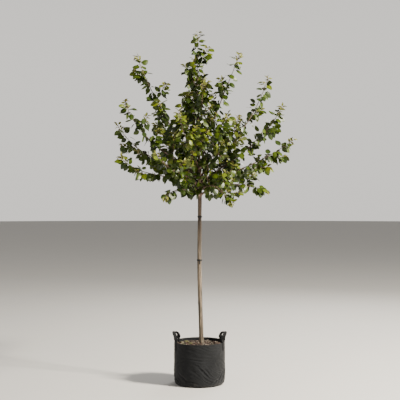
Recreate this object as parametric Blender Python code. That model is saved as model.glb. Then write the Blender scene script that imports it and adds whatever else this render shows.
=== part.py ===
"""A young pear tree on its root ball, which stands in a round fabric planting bag with two strap handles.

Metres, +Z up. The origin is the centre of the bag's flat underside, and -Y is the front.
The trunk is one tapering stem that runs up through the crown. Each bough is one tapering limb that
ends where its foliage begins, and each mass of foliage is one stem with twigs and leaves fused on.
"""

import math
import random
from collections import namedtuple

import bmesh
import bpy
from mathutils import Vector
from mathutils.bvhtree import BVHTree

# Clearance between neighbours that touch on the real thing.
SEAT = 0.0003

# Planting bag.
BAG_RADIUS = 0.225
BAG_HEIGHT = 0.375
BAG_WALL = 0.004
BAG_FOOT_RADIUS = 0.203
BAG_SIDES = 32
# Outer wall of the bag, from foot to rim: height as a share of BAG_HEIGHT, radius as a share of BAG_RADIUS.
BAG_PROFILE = ((0.015, 0.95), (0.06, 0.985), (0.30, 1.0), (0.70, 1.0), (1.0, 0.99))

# Strap handles, sewn to the outside of the wall.
STRAP_WIDTH = 0.028
STRAP_THICKNESS = 0.003
STRAP_SEWN_LENGTH = 0.070
STRAP_FREE_LEG = 0.022
STRAP_ARCH_HEIGHT = 0.055
STRAP_TWIST_HEIGHT = 0.045
STRAP_SEWN_STEPS = 3
STRAP_ARCH_STEPS = 12
# Each leg stands on one of the BAG_SIDES corners of the wall.
HANDLE_LEGS_DEG = {"handle_right": (-22.5, 33.75), "handle_left": (202.5, 146.25)}

# Root ball: potting compost up to just under the rim, a little higher round the trunk.
COMPOST_EDGE_HEIGHT = 0.338
COMPOST_TOP_HEIGHT = 0.356
COMPOST_FLAT_RADIUS = 0.048
COMPOST_MOUND_SHARES = (0.80, 0.52)

# Trunk and leader.
TRUNK_FOOT = COMPOST_TOP_HEIGHT + SEAT
TRUNK_TIP = 2.72
TREE_TOP = 3.095
TRUNK_SIDES = 10
TRUNK_RING_GAP = 0.22
# (height, radius) of the stem: clear stem, under the crown, above the forks, leader, top.
STEM_RADII = ((0.50, 0.0200), (1.62, 0.0170), (1.95, 0.0120), (TRUNK_TIP, 0.0046), (TREE_TOP, 0.0016))
# Root flare: what it adds to the radius at the foot, how fast it fades, and its rings in that height.
FLARE_RADIUS = 0.0045
FLARE_HEIGHT = 0.032
FLARE_RINGS = (0.0, 0.35, 0.8, 1.6, 3.0)
FOOT_OFFSET = 0.012
LEAN_PER_METRE = 0.011
# The stem sways from side to side, and less to front and back.
SWAY = 0.005
SWAY_DEPTH = 0.003
SWAY_PERIOD = 1.5
SWAY_START = 1.375

# Rubber ties round the clear stem.
TIE_HEIGHTS = {"tie_upper": 1.472, "tie_lower": 1.088}
TIE_BAND_HEIGHT = 0.013
TIE_BAND_THICKNESS = 0.003
TIE_SIDES = 12
BUCKLE_SIZE = (0.016, 0.007, 0.018)
BUCKLE_SUNK = 0.001
TAIL_SIZE = (0.009, 0.003, 0.032)
TAIL_OFFSET = (0.002, -0.0015, -0.021)

# Boughs: heights and reach in metres, angles in degrees. Azimuth 0 is +X and 90 is +Y, the back.
# rise_at_fork and rise_at_tip are the limb's slope above level at its two ends.
Bough = namedtuple("Bough", "name fork azimuth reach tip rise_at_fork rise_at_tip")
BOUGHS = (
    Bough("left_high", 1.886, 169, 0.570, 2.90, 55, 68),
    Bough("left_upper", 1.795, 198, 0.675, 2.47, 42, 72),
    Bough("left_middle", 1.735, 162, 0.785, 2.30, 40, 58),
    Bough("left_low", 1.689, 192, 0.700, 1.99, 44, 48),
    Bough("left_under", 1.650, 218, 0.380, 1.640, 34, -42),
    Bough("right_high", 1.873, -28, 0.390, 2.87, 77, 66),
    Bough("right_upper", 1.825, 20, 0.665, 2.73, 42, 70),
    Bough("right_middle", 1.765, -10, 0.730, 2.43, 37, 62),
    Bough("right_low", 1.715, 6, 0.840, 2.155, 30, 37),
    Bough("right_under", 1.660, -24, 0.630, 1.69, 34, -20),
    Bough("front_high", 1.936, 274, 0.370, 2.60, 70, 72),
    Bough("front_left", 1.860, 253, 0.580, 2.35, 51, 65),
    Bough("front_right", 1.800, 304, 0.580, 2.315, 47, 67),
    Bough("front_left_low", 1.717, 242, 0.740, 1.99, 35, 36),
    Bough("front_under", 1.693, 295, 0.620, 1.585, 28, -34),
    Bough("back_high", 1.911, 101, 0.400, 2.70, 69, 72),
    Bough("back_left", 1.843, 125, 0.700, 2.50, 43, 66),
    Bough("back_right", 1.800, 66, 0.680, 2.44, 43, 66),
    Bough("back_left_low", 1.766, 128, 0.760, 2.02, 33, 38),
    Bough("back_right_low", 1.745, 41, 0.780, 1.97, 33, 36),
    Bough("back_under", 1.675, 90, 0.640, 1.74, 28, -16),
)
BOUGH_SIDES = 5
BOUGH_RINGS = 4
BOUGH_BASE_RADIUS = 0.0088
BOUGH_TIP_RADIUS = 0.0018
BOUGH_TAPER = 0.8
# The share of a bough's curve that is bare, before its foliage begins.
BARE_SHARE = 0.20
# Length of a curve's two handles as a share of its span, and the step its direction is taken over.
CURVE_PULL = 0.38
CURVE_STEP = 0.001

# Side shoots that leave the leader above the boughs: height, azimuth and length.
LEADER_SHOOTS = (
    ("leader_leaves_1", 2.04, 222, 0.30),
    ("leader_leaves_2", 2.17, 15, 0.27),
    ("leader_leaves_3", 2.30, 142, 0.26),
    ("leader_leaves_4", 2.41, 300, 0.22),
    ("leader_leaves_5", 2.52, 62, 0.21),
    ("leader_leaves_6", 2.61, 188, 0.20),
)
SHOOT_RISE_DEG = 58
SHOOT_RADIUS = 0.0034
SHOOT_TAPER = (1.0, 0.7, 0.4)
SHOOT_BEND = 0.10
LEADER_TOP_RINGS = 5

# Foliage rule. Growing points follow each other up a stem every STEP, each turned by TURN_DEG.
STEM_SIDES = 4
STEM_RINGS = 6
STEP = 0.067
TWIG_STEP = 0.062
FIRST_STEP = 0.5
LAST_STEP = 0.3
TURN_DEG = 137.5
# Every TWIG_EVERY-th growing point carries a twig, up to TWIGS_END of the stem. Twigs shorten towards
# the stem's tip, and lift a little from their spread.
TWIG_EVERY = 3
TWIG_FIRST = 1
TWIGS_END = 0.78
TWIG_SIDES = 3
TWIG_LENGTHS = (0.23, 0.08)
TWIG_LENGTH_SPREAD = 0.15
TWIG_SPREAD_DEG = 52
TWIG_SPREAD_VARIES_DEG = 8
TWIG_TURN_VARIES_DEG = 20
TWIG_LIFT = 0.35
TWIG_RADIUS = 0.0024
TWIG_TIP_RADIUS = 0.0012
TWIG_IN_STEM = 0.9
# Twigs with a known place: the mass and its growing point, then azimuth, rise and length.
SIDE_SHOOTS = {
    ("left_high_leaves", 7): (-40, 46, 0.165),
    ("left_upper_leaves", 4): (-62, 64, 0.14),
    ("left_upper_leaves", 7): (-38, 46, 0.13),
    ("left_low_leaves", 4): (222, 4, 0.15),
    ("right_high_leaves", 4): (205, 80, 0.17),
    ("right_low_leaves", 4): (-22, -8, 0.17),
    ("right_under_leaves", 4): (12, 50, 0.12),
}
# Leaf blade with its stalk: a kite whose widest place is at LEAF_WIDEST of its length.
LEAF_LENGTH = 0.094
LEAF_WIDTH = 0.058
LEAF_THICKNESS = 0.0016
LEAF_WIDEST = 0.60
LEAF_FOLD = 0.10
LEAF_CURL = 0.10
LEAF_SIZES = (0.85, 1.08)
YOUNG_LEAF_SCALE = 0.62
# Leaves hang below level and roll about their stalks. Towards a tip they hang less and point on ahead.
LEAF_DROOP_DEG = 48
LEAF_DROOP_LOST = 0.55
LEAF_DROOP_VARIES_DEG = 12
LEAF_ROLL_DEG = 55
LEAF_TURN_VARIES_DEG = 25
LEAF_AHEAD = (0.25, 0.55)
LEAF_FLATTEN = 0.35
LEAF_TILT_OUT = 0.4
# A leaf's foot is sunk in its shoot. Its clearance starts beyond the shoot, at LEAF_FREE_FROM.
LEAF_CLEARANCE = 0.003
LEAF_FREE_FROM = 0.006
LEAF_SUNK = 0.0009
LEAF_TRIES = 4
# The last two leaves of a shoot: distance back from its tip, and turn about it.
TIP_LEAVES = ((0.003, 80), (0.016, 250))

SHARP_EDGE_DEG = 50
FIRST_SEED = 12

COLOURS = {
    # name: base colour, roughness
    "bag_felt": ((0.025, 0.026, 0.028), 0.95),
    "compost": ((0.10, 0.055, 0.035), 0.95),
    "bark": ((0.23, 0.18, 0.13), 0.80),
    "leaf": ((0.05, 0.13, 0.03), 0.45),
    "rubber": ((0.012, 0.012, 0.013), 0.60),
}


# ---------------------------------------------------------------- helpers


def clear_scene():
    for old in list(bpy.data.objects):
        bpy.data.objects.remove(old)


def material(name):
    found = bpy.data.materials.get(name)
    if found:
        return found
    made = bpy.data.materials.new(name)
    made.use_nodes = True
    colour, roughness = COLOURS[name]
    shader = made.node_tree.nodes["Principled BSDF"]
    shader.inputs["Base Color"].default_value = (*colour, 1.0)
    shader.inputs["Roughness"].default_value = roughness
    shader.inputs["Metallic"].default_value = 0.0
    return made


def add_object(name, points, faces, finish, smooth=False):
    mesh = bpy.data.meshes.new(name)
    mesh.from_pydata([tuple(p) for p in points], [], faces)
    mesh.materials.append(material(finish))
    if smooth:
        mesh.shade_smooth()
        mesh.set_sharp_from_angle(angle=math.radians(SHARP_EDGE_DEG))
    made = bpy.data.objects.new(name, mesh)
    bpy.context.scene.collection.objects.link(made)
    return made


def outward(azimuth_deg):
    """Level unit vector at this azimuth."""
    a = math.radians(azimuth_deg)
    return Vector((math.cos(a), math.sin(a), 0.0))


def heading(azimuth_deg, rise_deg):
    """Unit vector at this azimuth that climbs at rise_deg."""
    rise = math.radians(rise_deg)
    return outward(azimuth_deg) * math.cos(rise) + Vector((0.0, 0.0, math.sin(rise)))


def between(stations, x):
    """Straight-line value at x through (x, value) stations, level past the ends."""
    if x <= stations[0][0]:
        return stations[0][1]
    for (x0, v0), (x1, v1) in zip(stations, stations[1:]):
        if x <= x1:
            return v0 + (v1 - v0) * (x - x0) / (x1 - x0)
    return stations[-1][1]


def side_of(direction):
    """A unit vector square to direction."""
    guide = Vector((0.0, 0.0, 1.0)) if abs(direction.z) < 0.9 else Vector((1.0, 0.0, 0.0))
    return direction.cross(guide).normalized()


def chords(line):
    """Unit direction at each point of a line, from the points on either side of it."""
    last = len(line) - 1
    return [(line[min(i + 1, last)] - line[max(i - 1, 0)]).normalized() for i in range(last + 1)]


def walls(rings, sides):
    """Four-sided faces between rings of points, each ring counter-clockwise seen from the last one."""
    faces = []
    for i in range(rings - 1):
        for k in range(sides):
            a, b = i * sides + k, i * sides + (k + 1) % sides
            faces.append((a, b, b + sides, a + sides))
    return faces


def closed(rings, sides):
    """Walls between rings of points, and a flat face at each end."""
    last = (rings - 1) * sides
    return walls(rings, sides) + [tuple(reversed(range(sides))), tuple(range(last, last + sides))]


def pointed(rings, sides):
    """Walls between rings of points, a flat face at the foot, and a point that follows the last ring."""
    last = (rings - 1) * sides
    tip = rings * sides
    cone = [(last + k, last + (k + 1) % sides, tip) for k in range(sides)]
    return walls(rings, sides) + [tuple(reversed(range(sides)))] + cone


def ring_points(line, radii, sides, ways):
    """Rings of points round a line, square to the directions in ways, with as little twist as can be."""
    points = []
    side = side_of(ways[0])
    for centre, radius, along in zip(line, radii, ways):
        side = (side - along * side.dot(along)).normalized()
        other = along.cross(side)
        for k in range(sides):
            a = 2 * math.pi * k / sides
            points.append(centre + (side * math.cos(a) + other * math.sin(a)) * radius)
    return points


def rod(line, radii, sides, ways=None):
    """(points, faces) of a round limb along line, with flat ends."""
    return ring_points(line, radii, sides, ways or chords(line)), closed(len(line), sides)


def spike(line, radii, sides, ways=None):
    """(points, faces) of a round limb along line, with a flat foot and a sharp tip."""
    rings = len(line) - 1
    points = ring_points(line[:rings], radii[:rings], sides, (ways or chords(line))[:rings])
    return points + [line[-1].copy()], pointed(rings, sides)


def level_ring(centre, radius, sides):
    """Points of a level circle, counter-clockwise from +X."""
    return [centre + outward(360 * k / sides) * radius for k in range(sides)]


def turned(profile, sides):
    """(points, faces) of a solid turned about Z through (radius, height) pairs, closed at each end by
    a flat face. The profile runs so that the solid lies on its left."""
    points = []
    for radius, height in profile:
        points += level_ring(Vector((0.0, 0.0, height)), radius, sides)
    return points, closed(len(profile), sides)


def box_shape(centre, size):
    """(points, faces) of a block."""
    x, y, z = (side / 2 for side in size)
    points = []
    for height in (-z, z):
        points += [centre + Vector((u, v, height)) for u, v in ((-x, -y), (x, -y), (x, y), (-x, y))]
    return points, closed(2, 4)


# ---------------------------------------------------------------- bag, handles and root ball


def bag_wall_radius(z):
    """Outer radius of the bag at height z."""
    stations = [(share * BAG_HEIGHT, scale * BAG_RADIUS) for share, scale in BAG_PROFILE]
    return between(stations, z)


def make_bag():
    outer = [(BAG_FOOT_RADIUS, 0.0)]
    outer += [(scale * BAG_RADIUS, share * BAG_HEIGHT) for share, scale in BAG_PROFILE]
    inner = [(r - BAG_WALL, z) for r, z in reversed(outer[2:])]
    inner += [(BAG_FOOT_RADIUS - BAG_WALL, BAG_WALL)]
    add_object("bag", *turned(outer + inner, BAG_SIDES), "bag_felt", smooth=True)


def make_root_ball():
    """Compost that fills the bag, 0.3 mm clear of the felt, with a low mound round the trunk."""
    gap = SEAT / math.cos(math.pi / BAG_SIDES)
    foot = BAG_FOOT_RADIUS - BAG_WALL - gap
    heights = [share * BAG_HEIGHT for share, _ in BAG_PROFILE[1:]]
    heights = [z for z in heights if z < COMPOST_EDGE_HEIGHT] + [COMPOST_EDGE_HEIGHT]
    profile = [(foot, BAG_WALL + SEAT)]
    profile += [(bag_wall_radius(z) - BAG_WALL - gap, z) for z in heights]
    edge = profile[-1][0]
    rise = COMPOST_TOP_HEIGHT - COMPOST_EDGE_HEIGHT
    for share in COMPOST_MOUND_SHARES:
        profile.append((edge * share, COMPOST_EDGE_HEIGHT + rise * math.cos(share * math.pi / 2)))
    profile.append((COMPOST_FLAT_RADIUS, COMPOST_TOP_HEIGHT))
    add_object("root_ball", *turned(profile, BAG_SIDES), "compost", smooth=True)


def strap_radius(z):
    """Distance of a sewn strap's middle from the bag's axis."""
    return bag_wall_radius(z) + SEAT + STRAP_THICKNESS / 2


def handle_stations(legs_deg):
    """(centre, width direction) pairs along one strap, from one sewn end over the hoop to the other.
    The hoop stands over the round of the rim. The strap lies flat on the wall where it is sewn, and
    turns until its width points out at the top."""
    first, last = legs_deg
    middle, half_turn = (first + last) / 2, (last - first) / 2
    turn = math.copysign(90, half_turn)

    def station(azimuth, z):
        share = min(max((z - BAG_HEIGHT) / STRAP_TWIST_HEIGHT, 0.0), 1.0)
        eased = share * share * (3 - 2 * share)
        level = outward(azimuth) * strap_radius(min(z, BAG_HEIGHT))
        side = 1 if abs(azimuth - first) < abs(azimuth - last) else -1
        return Vector((level.x, level.y, z)), outward(azimuth + side * turn * (1 - eased))

    sewn_heights = [
        BAG_HEIGHT - STRAP_SEWN_LENGTH * drop / STRAP_SEWN_STEPS
        for drop in range(STRAP_SEWN_STEPS, -1, -1)
    ]
    hoop = []
    for step in range(STRAP_ARCH_STEPS + 1):
        a = math.pi * step / STRAP_ARCH_STEPS
        z = BAG_HEIGHT + STRAP_FREE_LEG + STRAP_ARCH_HEIGHT * math.sin(a)
        hoop.append(station(middle - half_turn * math.cos(a), z))
    rising = [station(first, z) for z in sewn_heights]
    falling = [station(last, z) for z in reversed(sewn_heights)]
    return rising + hoop + falling


def make_handle(name, legs_deg):
    stations = handle_stations(legs_deg)
    points = []
    for (centre, width), along in zip(stations, chords([centre for centre, _ in stations])):
        across = (width - along * width.dot(along)).normalized() * (STRAP_WIDTH / 2)
        face = along.cross(across).normalized() * (STRAP_THICKNESS / 2)
        points += [centre - across - face, centre + across - face]
        points += [centre + across + face, centre - across + face]
    add_object(name, points, closed(len(stations), 4), "bag_felt")


# ---------------------------------------------------------------- trunk, ties and boughs


def stem_at(z):
    """Centre of the trunk or leader at height z: a slight lean to the left and a gentle sway."""
    phase = 2 * math.pi * (z - SWAY_START) / SWAY_PERIOD
    x = FOOT_OFFSET - LEAN_PER_METRE * (z - TRUNK_FOOT) + SWAY * math.sin(phase)
    return Vector((x, SWAY_DEPTH * math.cos(phase), z))


def stem_radius(z):
    flare = FLARE_RADIUS * math.exp(-(z - TRUNK_FOOT) / FLARE_HEIGHT)
    return between(STEM_RADII, z) + flare


def trunk_heights():
    """Ring heights, closer together in the root flare, with one ring behind each tie."""
    flare = [TRUNK_FOOT + FLARE_HEIGHT * share for share in FLARE_RINGS]
    stations = flare + sorted(TIE_HEIGHTS.values()) + [TRUNK_TIP]
    heights = flare[:-1]
    for low, high in zip(stations[len(flare) - 1 :], stations[len(flare) :]):
        parts = math.ceil((high - low) / TRUNK_RING_GAP)
        heights += [low + (high - low) * i / parts for i in range(parts)]
    return heights + [TRUNK_TIP]


def trunk_shape(grown=0.0):
    """Level rings round the stem, so that the foot is cut flat. grown is a skin added all round."""
    points = []
    heights = trunk_heights()
    for z in heights:
        radius = stem_radius(z) + grown / math.cos(math.pi / TRUNK_SIDES)
        points += level_ring(stem_at(z), radius, TRUNK_SIDES)
    return points, closed(len(heights), TRUNK_SIDES)


def make_tie(name, z):
    """A rubber band round the stem, with a short tail that hangs from its buckle at the front."""
    inner = (stem_radius(z - TIE_BAND_HEIGHT / 2) + SEAT) / math.cos(math.pi / TIE_SIDES)
    outer = inner + TIE_BAND_THICKNESS
    up = Vector((0.0, 0.0, TIE_BAND_HEIGHT / 2))
    points = []
    for radius, height in ((outer, -up), (outer, up), (inner, up), (inner, -up)):
        points += level_ring(stem_at(z) + height, radius, TIE_SIDES)
    count = len(points)
    faces = [tuple(corner % count for corner in face) for face in walls(5, TIE_SIDES)]
    band = add_object(name, points, faces, "rubber")
    front = stem_at(z) - Vector((0.0, outer + BUCKLE_SUNK, 0.0))
    fuse(band, [box_shape(front, BUCKLE_SIZE), box_shape(front + Vector(TAIL_OFFSET), TAIL_SIZE)])


def limb_point(bough, t):
    """Point on a bough's centre line, from the trunk's axis at t = 0 to its tip at t = 1."""
    root = stem_at(bough.fork)
    tip = outward(bough.azimuth) * bough.reach + Vector((0.0, 0.0, bough.tip))
    pull = CURVE_PULL * (tip - root).length
    leave = root + heading(bough.azimuth, bough.rise_at_fork) * pull
    arrive = tip - heading(bough.azimuth, bough.rise_at_tip) * pull
    u = 1 - t
    return root * u**3 + leave * (3 * u * u * t) + arrive * (3 * u * t * t) + tip * t**3


def limb_radius(t):
    return BOUGH_BASE_RADIUS + (BOUGH_TIP_RADIUS - BOUGH_BASE_RADIUS) * t**BOUGH_TAPER


def limb_way(bough, t):
    """Unit direction of a bough's centre line at t."""
    return (limb_point(bough, t + CURVE_STEP) - limb_point(bough, t - CURVE_STEP)).normalized()


def limb_run(bough, start, end, rings):
    """(points, radii, directions) along a bough between two values of t."""
    stations = [start + (end - start) * i / (rings - 1) for i in range(rings)]
    line = [limb_point(bough, t) for t in stations]
    return line, [limb_radius(t) for t in stations], [limb_way(bough, t) for t in stations]


def make_bough(bough, trunk_cutter):
    """The bare foot of a bough, with its end cut to the round of the trunk."""
    line, radii, ways = limb_run(bough, 0.0, BARE_SHARE, BOUGH_RINGS)
    limb = add_object(bough.name, *rod(line, radii, BOUGH_SIDES, ways), "bark", smooth=True)
    cut = limb.modifiers.new("seat on trunk", "BOOLEAN")
    cut.operation = "DIFFERENCE"
    cut.solver = "EXACT"
    cut.object = trunk_cutter
    apply_modifiers(limb)
    keep_largest(limb.data)
    return limb


# ---------------------------------------------------------------- fusing


def apply_modifiers(obj):
    graph = bpy.context.evaluated_depsgraph_get()
    made = bpy.data.meshes.new_from_object(obj.evaluated_get(graph))
    obj.modifiers.clear()
    obj.data = made


def shape_of(obj):
    """(points, faces) of an object's mesh."""
    points = [vert.co.copy() for vert in obj.data.vertices]
    return points, [tuple(face.vertices) for face in obj.data.polygons]


def keep_largest(mesh):
    """Drops every loose scrap of a mesh but its largest piece."""
    work = bmesh.new()
    work.from_mesh(mesh)
    left = set(work.verts)
    pieces = []
    while left:
        seed = left.pop()
        piece, front = {seed}, [seed]
        while front:
            for edge in front.pop().link_edges:
                for vert in edge.verts:
                    if vert in left:
                        left.remove(vert)
                        piece.add(vert)
                        front.append(vert)
        pieces.append(piece)
    pieces.sort(key=len)
    scraps = [vert for piece in pieces[:-1] for vert in piece]
    bmesh.ops.delete(work, geom=scraps, context="VERTS")
    work.to_mesh(mesh)
    work.free()


def fuse(base, shapes):
    """Joins shapes to the base object by one Boolean union on a collection, and removes the collection."""
    group = bpy.data.collections.new(base.name + "_pieces")
    for i, (points, faces) in enumerate(shapes):
        mesh = bpy.data.meshes.new(f"{base.name}_piece_{i}")
        mesh.from_pydata([tuple(p) for p in points], [], faces)
        group.objects.link(bpy.data.objects.new(mesh.name, mesh))
    bpy.context.scene.collection.children.link(group)
    union = base.modifiers.new("fused", "BOOLEAN")
    union.operation = "UNION"
    union.solver = "EXACT"
    union.operand_type = "COLLECTION"
    union.collection = group
    apply_modifiers(base)
    for piece in list(group.objects):
        bpy.data.objects.remove(piece)
    bpy.data.collections.remove(group)
    keep_largest(base.data)


# ---------------------------------------------------------------- foliage


def extent(points):
    """Lowest and highest coordinates of some points."""
    return [min(p[i] for p in points) for i in range(3)], [max(p[i] for p in points) for i in range(3)]


class Space:
    """What is already placed, so that a new twig or leaf can be refused where it would touch."""

    def __init__(self):
        self.taken = []

    def add(self, owner, part, shape):
        low, high = extent(shape[0])
        self.taken.append((owner, part, low, high, BVHTree.FromPolygons(*shape)))

    def is_free(self, shape, owner, carrier):
        """True where shape, already drawn with its clearance, meets nothing but its own carrier."""
        low, high = extent(shape[0])
        tree = BVHTree.FromPolygons(*shape)
        for other, part, other_low, other_high, other_tree in self.taken:
            if other == owner and part == carrier:
                continue
            if any(low[i] > other_high[i] or high[i] < other_low[i] for i in range(3)):
                continue
            if tree.overlap(other_tree):
                return False
        return True


def leaf_shape(root, direction, upper, length, width, thickness=LEAF_THICKNESS):
    """A leaf of 8 faces: a kite that narrows to its stalk, folded a little along its midrib."""
    across = direction.cross(upper).normalized()
    normal = across.cross(direction).normalized()
    middle = root + direction * (length * LEAF_WIDEST)
    fold = normal * (-LEAF_FOLD * width)
    tip = root + direction * length - normal * (LEAF_CURL * length)
    points = [
        root,
        middle - across * (width / 2),
        tip,
        middle + across * (width / 2),
        middle + fold + normal * (thickness / 2),
        middle + fold - normal * (thickness / 2),
    ]
    faces = [(0, 3, 4), (3, 2, 4), (2, 1, 4), (1, 0, 4), (3, 0, 5), (2, 3, 5), (1, 2, 5), (0, 1, 5)]
    return points, faces


class Mass:
    """One mass of foliage: a stem, twigs by a seeded rule, and leaves on both."""

    def __init__(self, name, line, radii, seed, ways=None):
        self.name = name
        self.line = line
        self.radii = radii
        self.rng = random.Random(seed)
        self.shapes = []
        self.carriers = [("stem", line, radii)]
        self.stem_shape = spike(line, radii, STEM_SIDES, ways)

    def radius_at(self, share):
        """Radius of the stem at this share of its length."""
        stations = [(i / (len(self.radii) - 1), r) for i, r in enumerate(self.radii)]
        return between(stations, share)

    def vary(self, amount):
        return self.rng.uniform(-amount, amount)

    def carries_twig(self, i, share):
        """True where the stem's i-th growing point carries a twig and not a leaf."""
        return i % TWIG_EVERY == TWIG_FIRST and share <= TWIGS_END

    def grow_twigs(self, space):
        """Side twigs on the stem, shorter towards its tip."""
        for i, (at, along, share) in enumerate(growing_points(self.line, STEP)):
            if not self.carries_twig(i, share):
                continue
            out = spoke(along, i * TURN_DEG + self.vary(TWIG_TURN_VARIES_DEG))
            spread = math.radians(TWIG_SPREAD_DEG + self.vary(TWIG_SPREAD_VARIES_DEG))
            direction = along * math.cos(spread) + out * math.sin(spread) + Vector((0, 0, TWIG_LIFT))
            length = between(((0.0, TWIG_LENGTHS[0]), (1.0, TWIG_LENGTHS[1])), share)
            length *= 1 + self.vary(TWIG_LENGTH_SPREAD)
            if (self.name, i) in SIDE_SHOOTS:
                azimuth, rise, length = SIDE_SHOOTS[self.name, i]
                direction = heading(azimuth, rise)
            line = [at, at + direction.normalized() * length]
            radii = [min(TWIG_RADIUS, TWIG_IN_STEM * self.radius_at(share)), TWIG_TIP_RADIUS]
            wide = [radius + LEAF_CLEARANCE for radius in radii]
            if not space.is_free(rod(line, wide, TWIG_SIDES), self.name, "stem"):
                continue
            part = f"twig{i}"
            shape = rod(line, radii, TWIG_SIDES)
            space.add(self.name, part, shape)
            self.shapes.append(shape)
            self.carriers.append((part, line, radii))

    def grow_leaves(self, space):
        """Leaves at the growing points of the stem and of each twig, and a pair at each tip."""
        for number, (part, line, _) in enumerate(self.carriers):
            on_stem = part == "stem"
            for i, (at, along, share) in enumerate(growing_points(line, STEP if on_stem else TWIG_STEP)):
                if on_stem and self.carries_twig(i, share):
                    continue
                azimuth = (i + number) * TURN_DEG + self.vary(LEAF_TURN_VARIES_DEG)
                self.add_leaf(space, part, at, along, azimuth, share)
            along = (line[-1] - line[-2]).normalized()
            for back, azimuth in TIP_LEAVES:
                turn = azimuth + self.vary(LEAF_TURN_VARIES_DEG)
                self.add_leaf(space, part, line[-1] - along * back, along, turn, 1.0)

    def add_leaf(self, space, part, at, along, azimuth, share):
        """Adds one leaf, turned on round its shoot where its first place is taken."""
        for attempt in range(LEAF_TRIES):
            shape = self.leaf_at(space, part, at, along, azimuth + attempt * TURN_DEG, share)
            if shape:
                space.add(self.name, f"{part}_leaf", shape)
                self.shapes.append(shape)
                return

    def leaf_at(self, space, part, at, along, azimuth, share):
        """A leaf's shape, or None where it would touch."""
        out = spoke(along, azimuth)
        ahead = LEAF_AHEAD[0] + LEAF_AHEAD[1] * share**3
        level = (Vector((out.x, out.y, LEAF_FLATTEN * out.z)) + along * ahead).normalized()
        droop = LEAF_DROOP_DEG * (1 - LEAF_DROOP_LOST * share) + self.vary(LEAF_DROOP_VARIES_DEG)
        droop = math.radians(droop)
        direction = (level * math.cos(droop) - Vector((0, 0, math.sin(droop)))).normalized()
        roll = math.radians(self.vary(LEAF_ROLL_DEG))
        flat = Vector((0, 0, 1)) + out * LEAF_TILT_OUT
        upper = flat * math.cos(roll) + direction.cross(flat).normalized() * math.sin(roll)
        size = (1 - (1 - YOUNG_LEAF_SCALE) * share**2) * self.rng.uniform(*LEAF_SIZES)
        length, width = LEAF_LENGTH * size, LEAF_WIDTH * size
        start = at + direction * LEAF_FREE_FROM
        reach = length - LEAF_FREE_FROM + LEAF_CLEARANCE
        around = 2 * LEAF_CLEARANCE
        wide = leaf_shape(start, direction, upper, reach, width + around, around)
        if not space.is_free(wide, self.name, part):
            return None
        return leaf_shape(at - direction * LEAF_SUNK, direction, upper, length, width)

    def build(self):
        base = add_object(self.name, *self.stem_shape, "leaf")
        fuse(base, self.shapes)


def growing_points(line, step):
    """(point, direction, share of the length) every step along a line, up to near its end."""
    lengths = [(b - a).length for a, b in zip(line, line[1:])]
    total = sum(lengths)
    found = []
    distance = step * FIRST_STEP
    while distance < total - step * LAST_STEP:
        walked = 0.0
        for a, b, length in zip(line, line[1:], lengths):
            if distance <= walked + length:
                share = (distance - walked) / length
                found.append((a.lerp(b, share), (b - a).normalized(), distance / total))
                break
            walked += length
        distance += step
    return found


def spoke(along, azimuth_deg):
    """Unit vector square to along, turned about it by azimuth_deg from level."""
    side = side_of(along)
    other = side.cross(along)
    a = math.radians(azimuth_deg)
    return (side * math.cos(a) + other * math.sin(a)).normalized()


def bough_mass(bough, seed):
    """The mass that carries on from a bough's tip, 0.3 mm clear of it."""
    before, after = (limb_point(bough, BARE_SHARE + side * CURVE_STEP) for side in (-1, 1))
    per_metre = 2 * CURVE_STEP / (after - before).length
    line, radii, ways = limb_run(bough, BARE_SHARE + SEAT * per_metre, 1.0, STEM_RINGS)
    return Mass(bough.name + "_leaves", line, radii, seed, ways)


def leader_shoot(bark, name, z, azimuth, length, seed):
    """A side shoot of the leader, whose foot is 0.3 mm clear of the bark, a BVHTree."""
    direction = heading(azimuth, SHOOT_RISE_DEG)
    rise = math.radians(SHOOT_RISE_DEG)
    out = outward(azimuth)
    level = stem_at(z + SHOOT_RADIUS * math.cos(rise))
    surface = bark.ray_cast(level + out, -out)[0]
    root = stem_at(z) + out * ((surface - level).length + SEAT + SHOOT_RADIUS * math.sin(rise))
    middle = root + direction * (length / 2)
    tip = root + direction * length + Vector((0, 0, SHOOT_BEND * length))
    return Mass(name, [root, middle, tip], [SHOOT_RADIUS * share for share in SHOOT_TAPER], seed)


def leader_top(seed):
    """The leader's own leafy tip, 0.3 mm above the trunk's end."""
    start = TRUNK_TIP + SEAT
    rise = (TREE_TOP - start) / (LEADER_TOP_RINGS - 1)
    heights = [start + rise * i for i in range(LEADER_TOP_RINGS)]
    return Mass("leader_top_leaves", [stem_at(z) for z in heights], [stem_radius(z) for z in heights], seed)


def main():
    clear_scene()
    make_bag()
    make_root_ball()
    for name, legs in HANDLE_LEGS_DEG.items():
        make_handle(name, legs)
    for name, z in TIE_HEIGHTS.items():
        make_tie(name, z)

    add_object("trunk", *trunk_shape(), "bark", smooth=True)
    cutter = add_object("trunk_cutter", *trunk_shape(SEAT), "bark")
    space = Space()
    space.add("trunk", "limb", trunk_shape())
    for bough in BOUGHS:
        space.add(bough.name, "limb", shape_of(make_bough(bough, cutter)))
    bpy.data.objects.remove(cutter)

    bark = BVHTree.FromPolygons(*trunk_shape())
    seeds = iter(range(FIRST_SEED, FIRST_SEED + len(BOUGHS) + len(LEADER_SHOOTS) + 1))
    masses = [bough_mass(bough, next(seeds)) for bough in BOUGHS]
    masses += [leader_shoot(bark, *shoot, next(seeds)) for shoot in LEADER_SHOOTS]
    masses.append(leader_top(next(seeds)))
    for mass in masses:
        space.add(mass.name, "stem", mass.stem_shape)
    for mass in masses:
        mass.grow_twigs(space)
    for mass in masses:
        mass.grow_leaves(space)
    for mass in masses:
        mass.build()
    twigs = sum(len(mass.carriers) - 1 for mass in masses)
    leaves = sum(len(mass.shapes) for mass in masses) - twigs
    print(f"{len(masses)} masses of foliage, {twigs} twigs and {leaves} leaves")


main()
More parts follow.
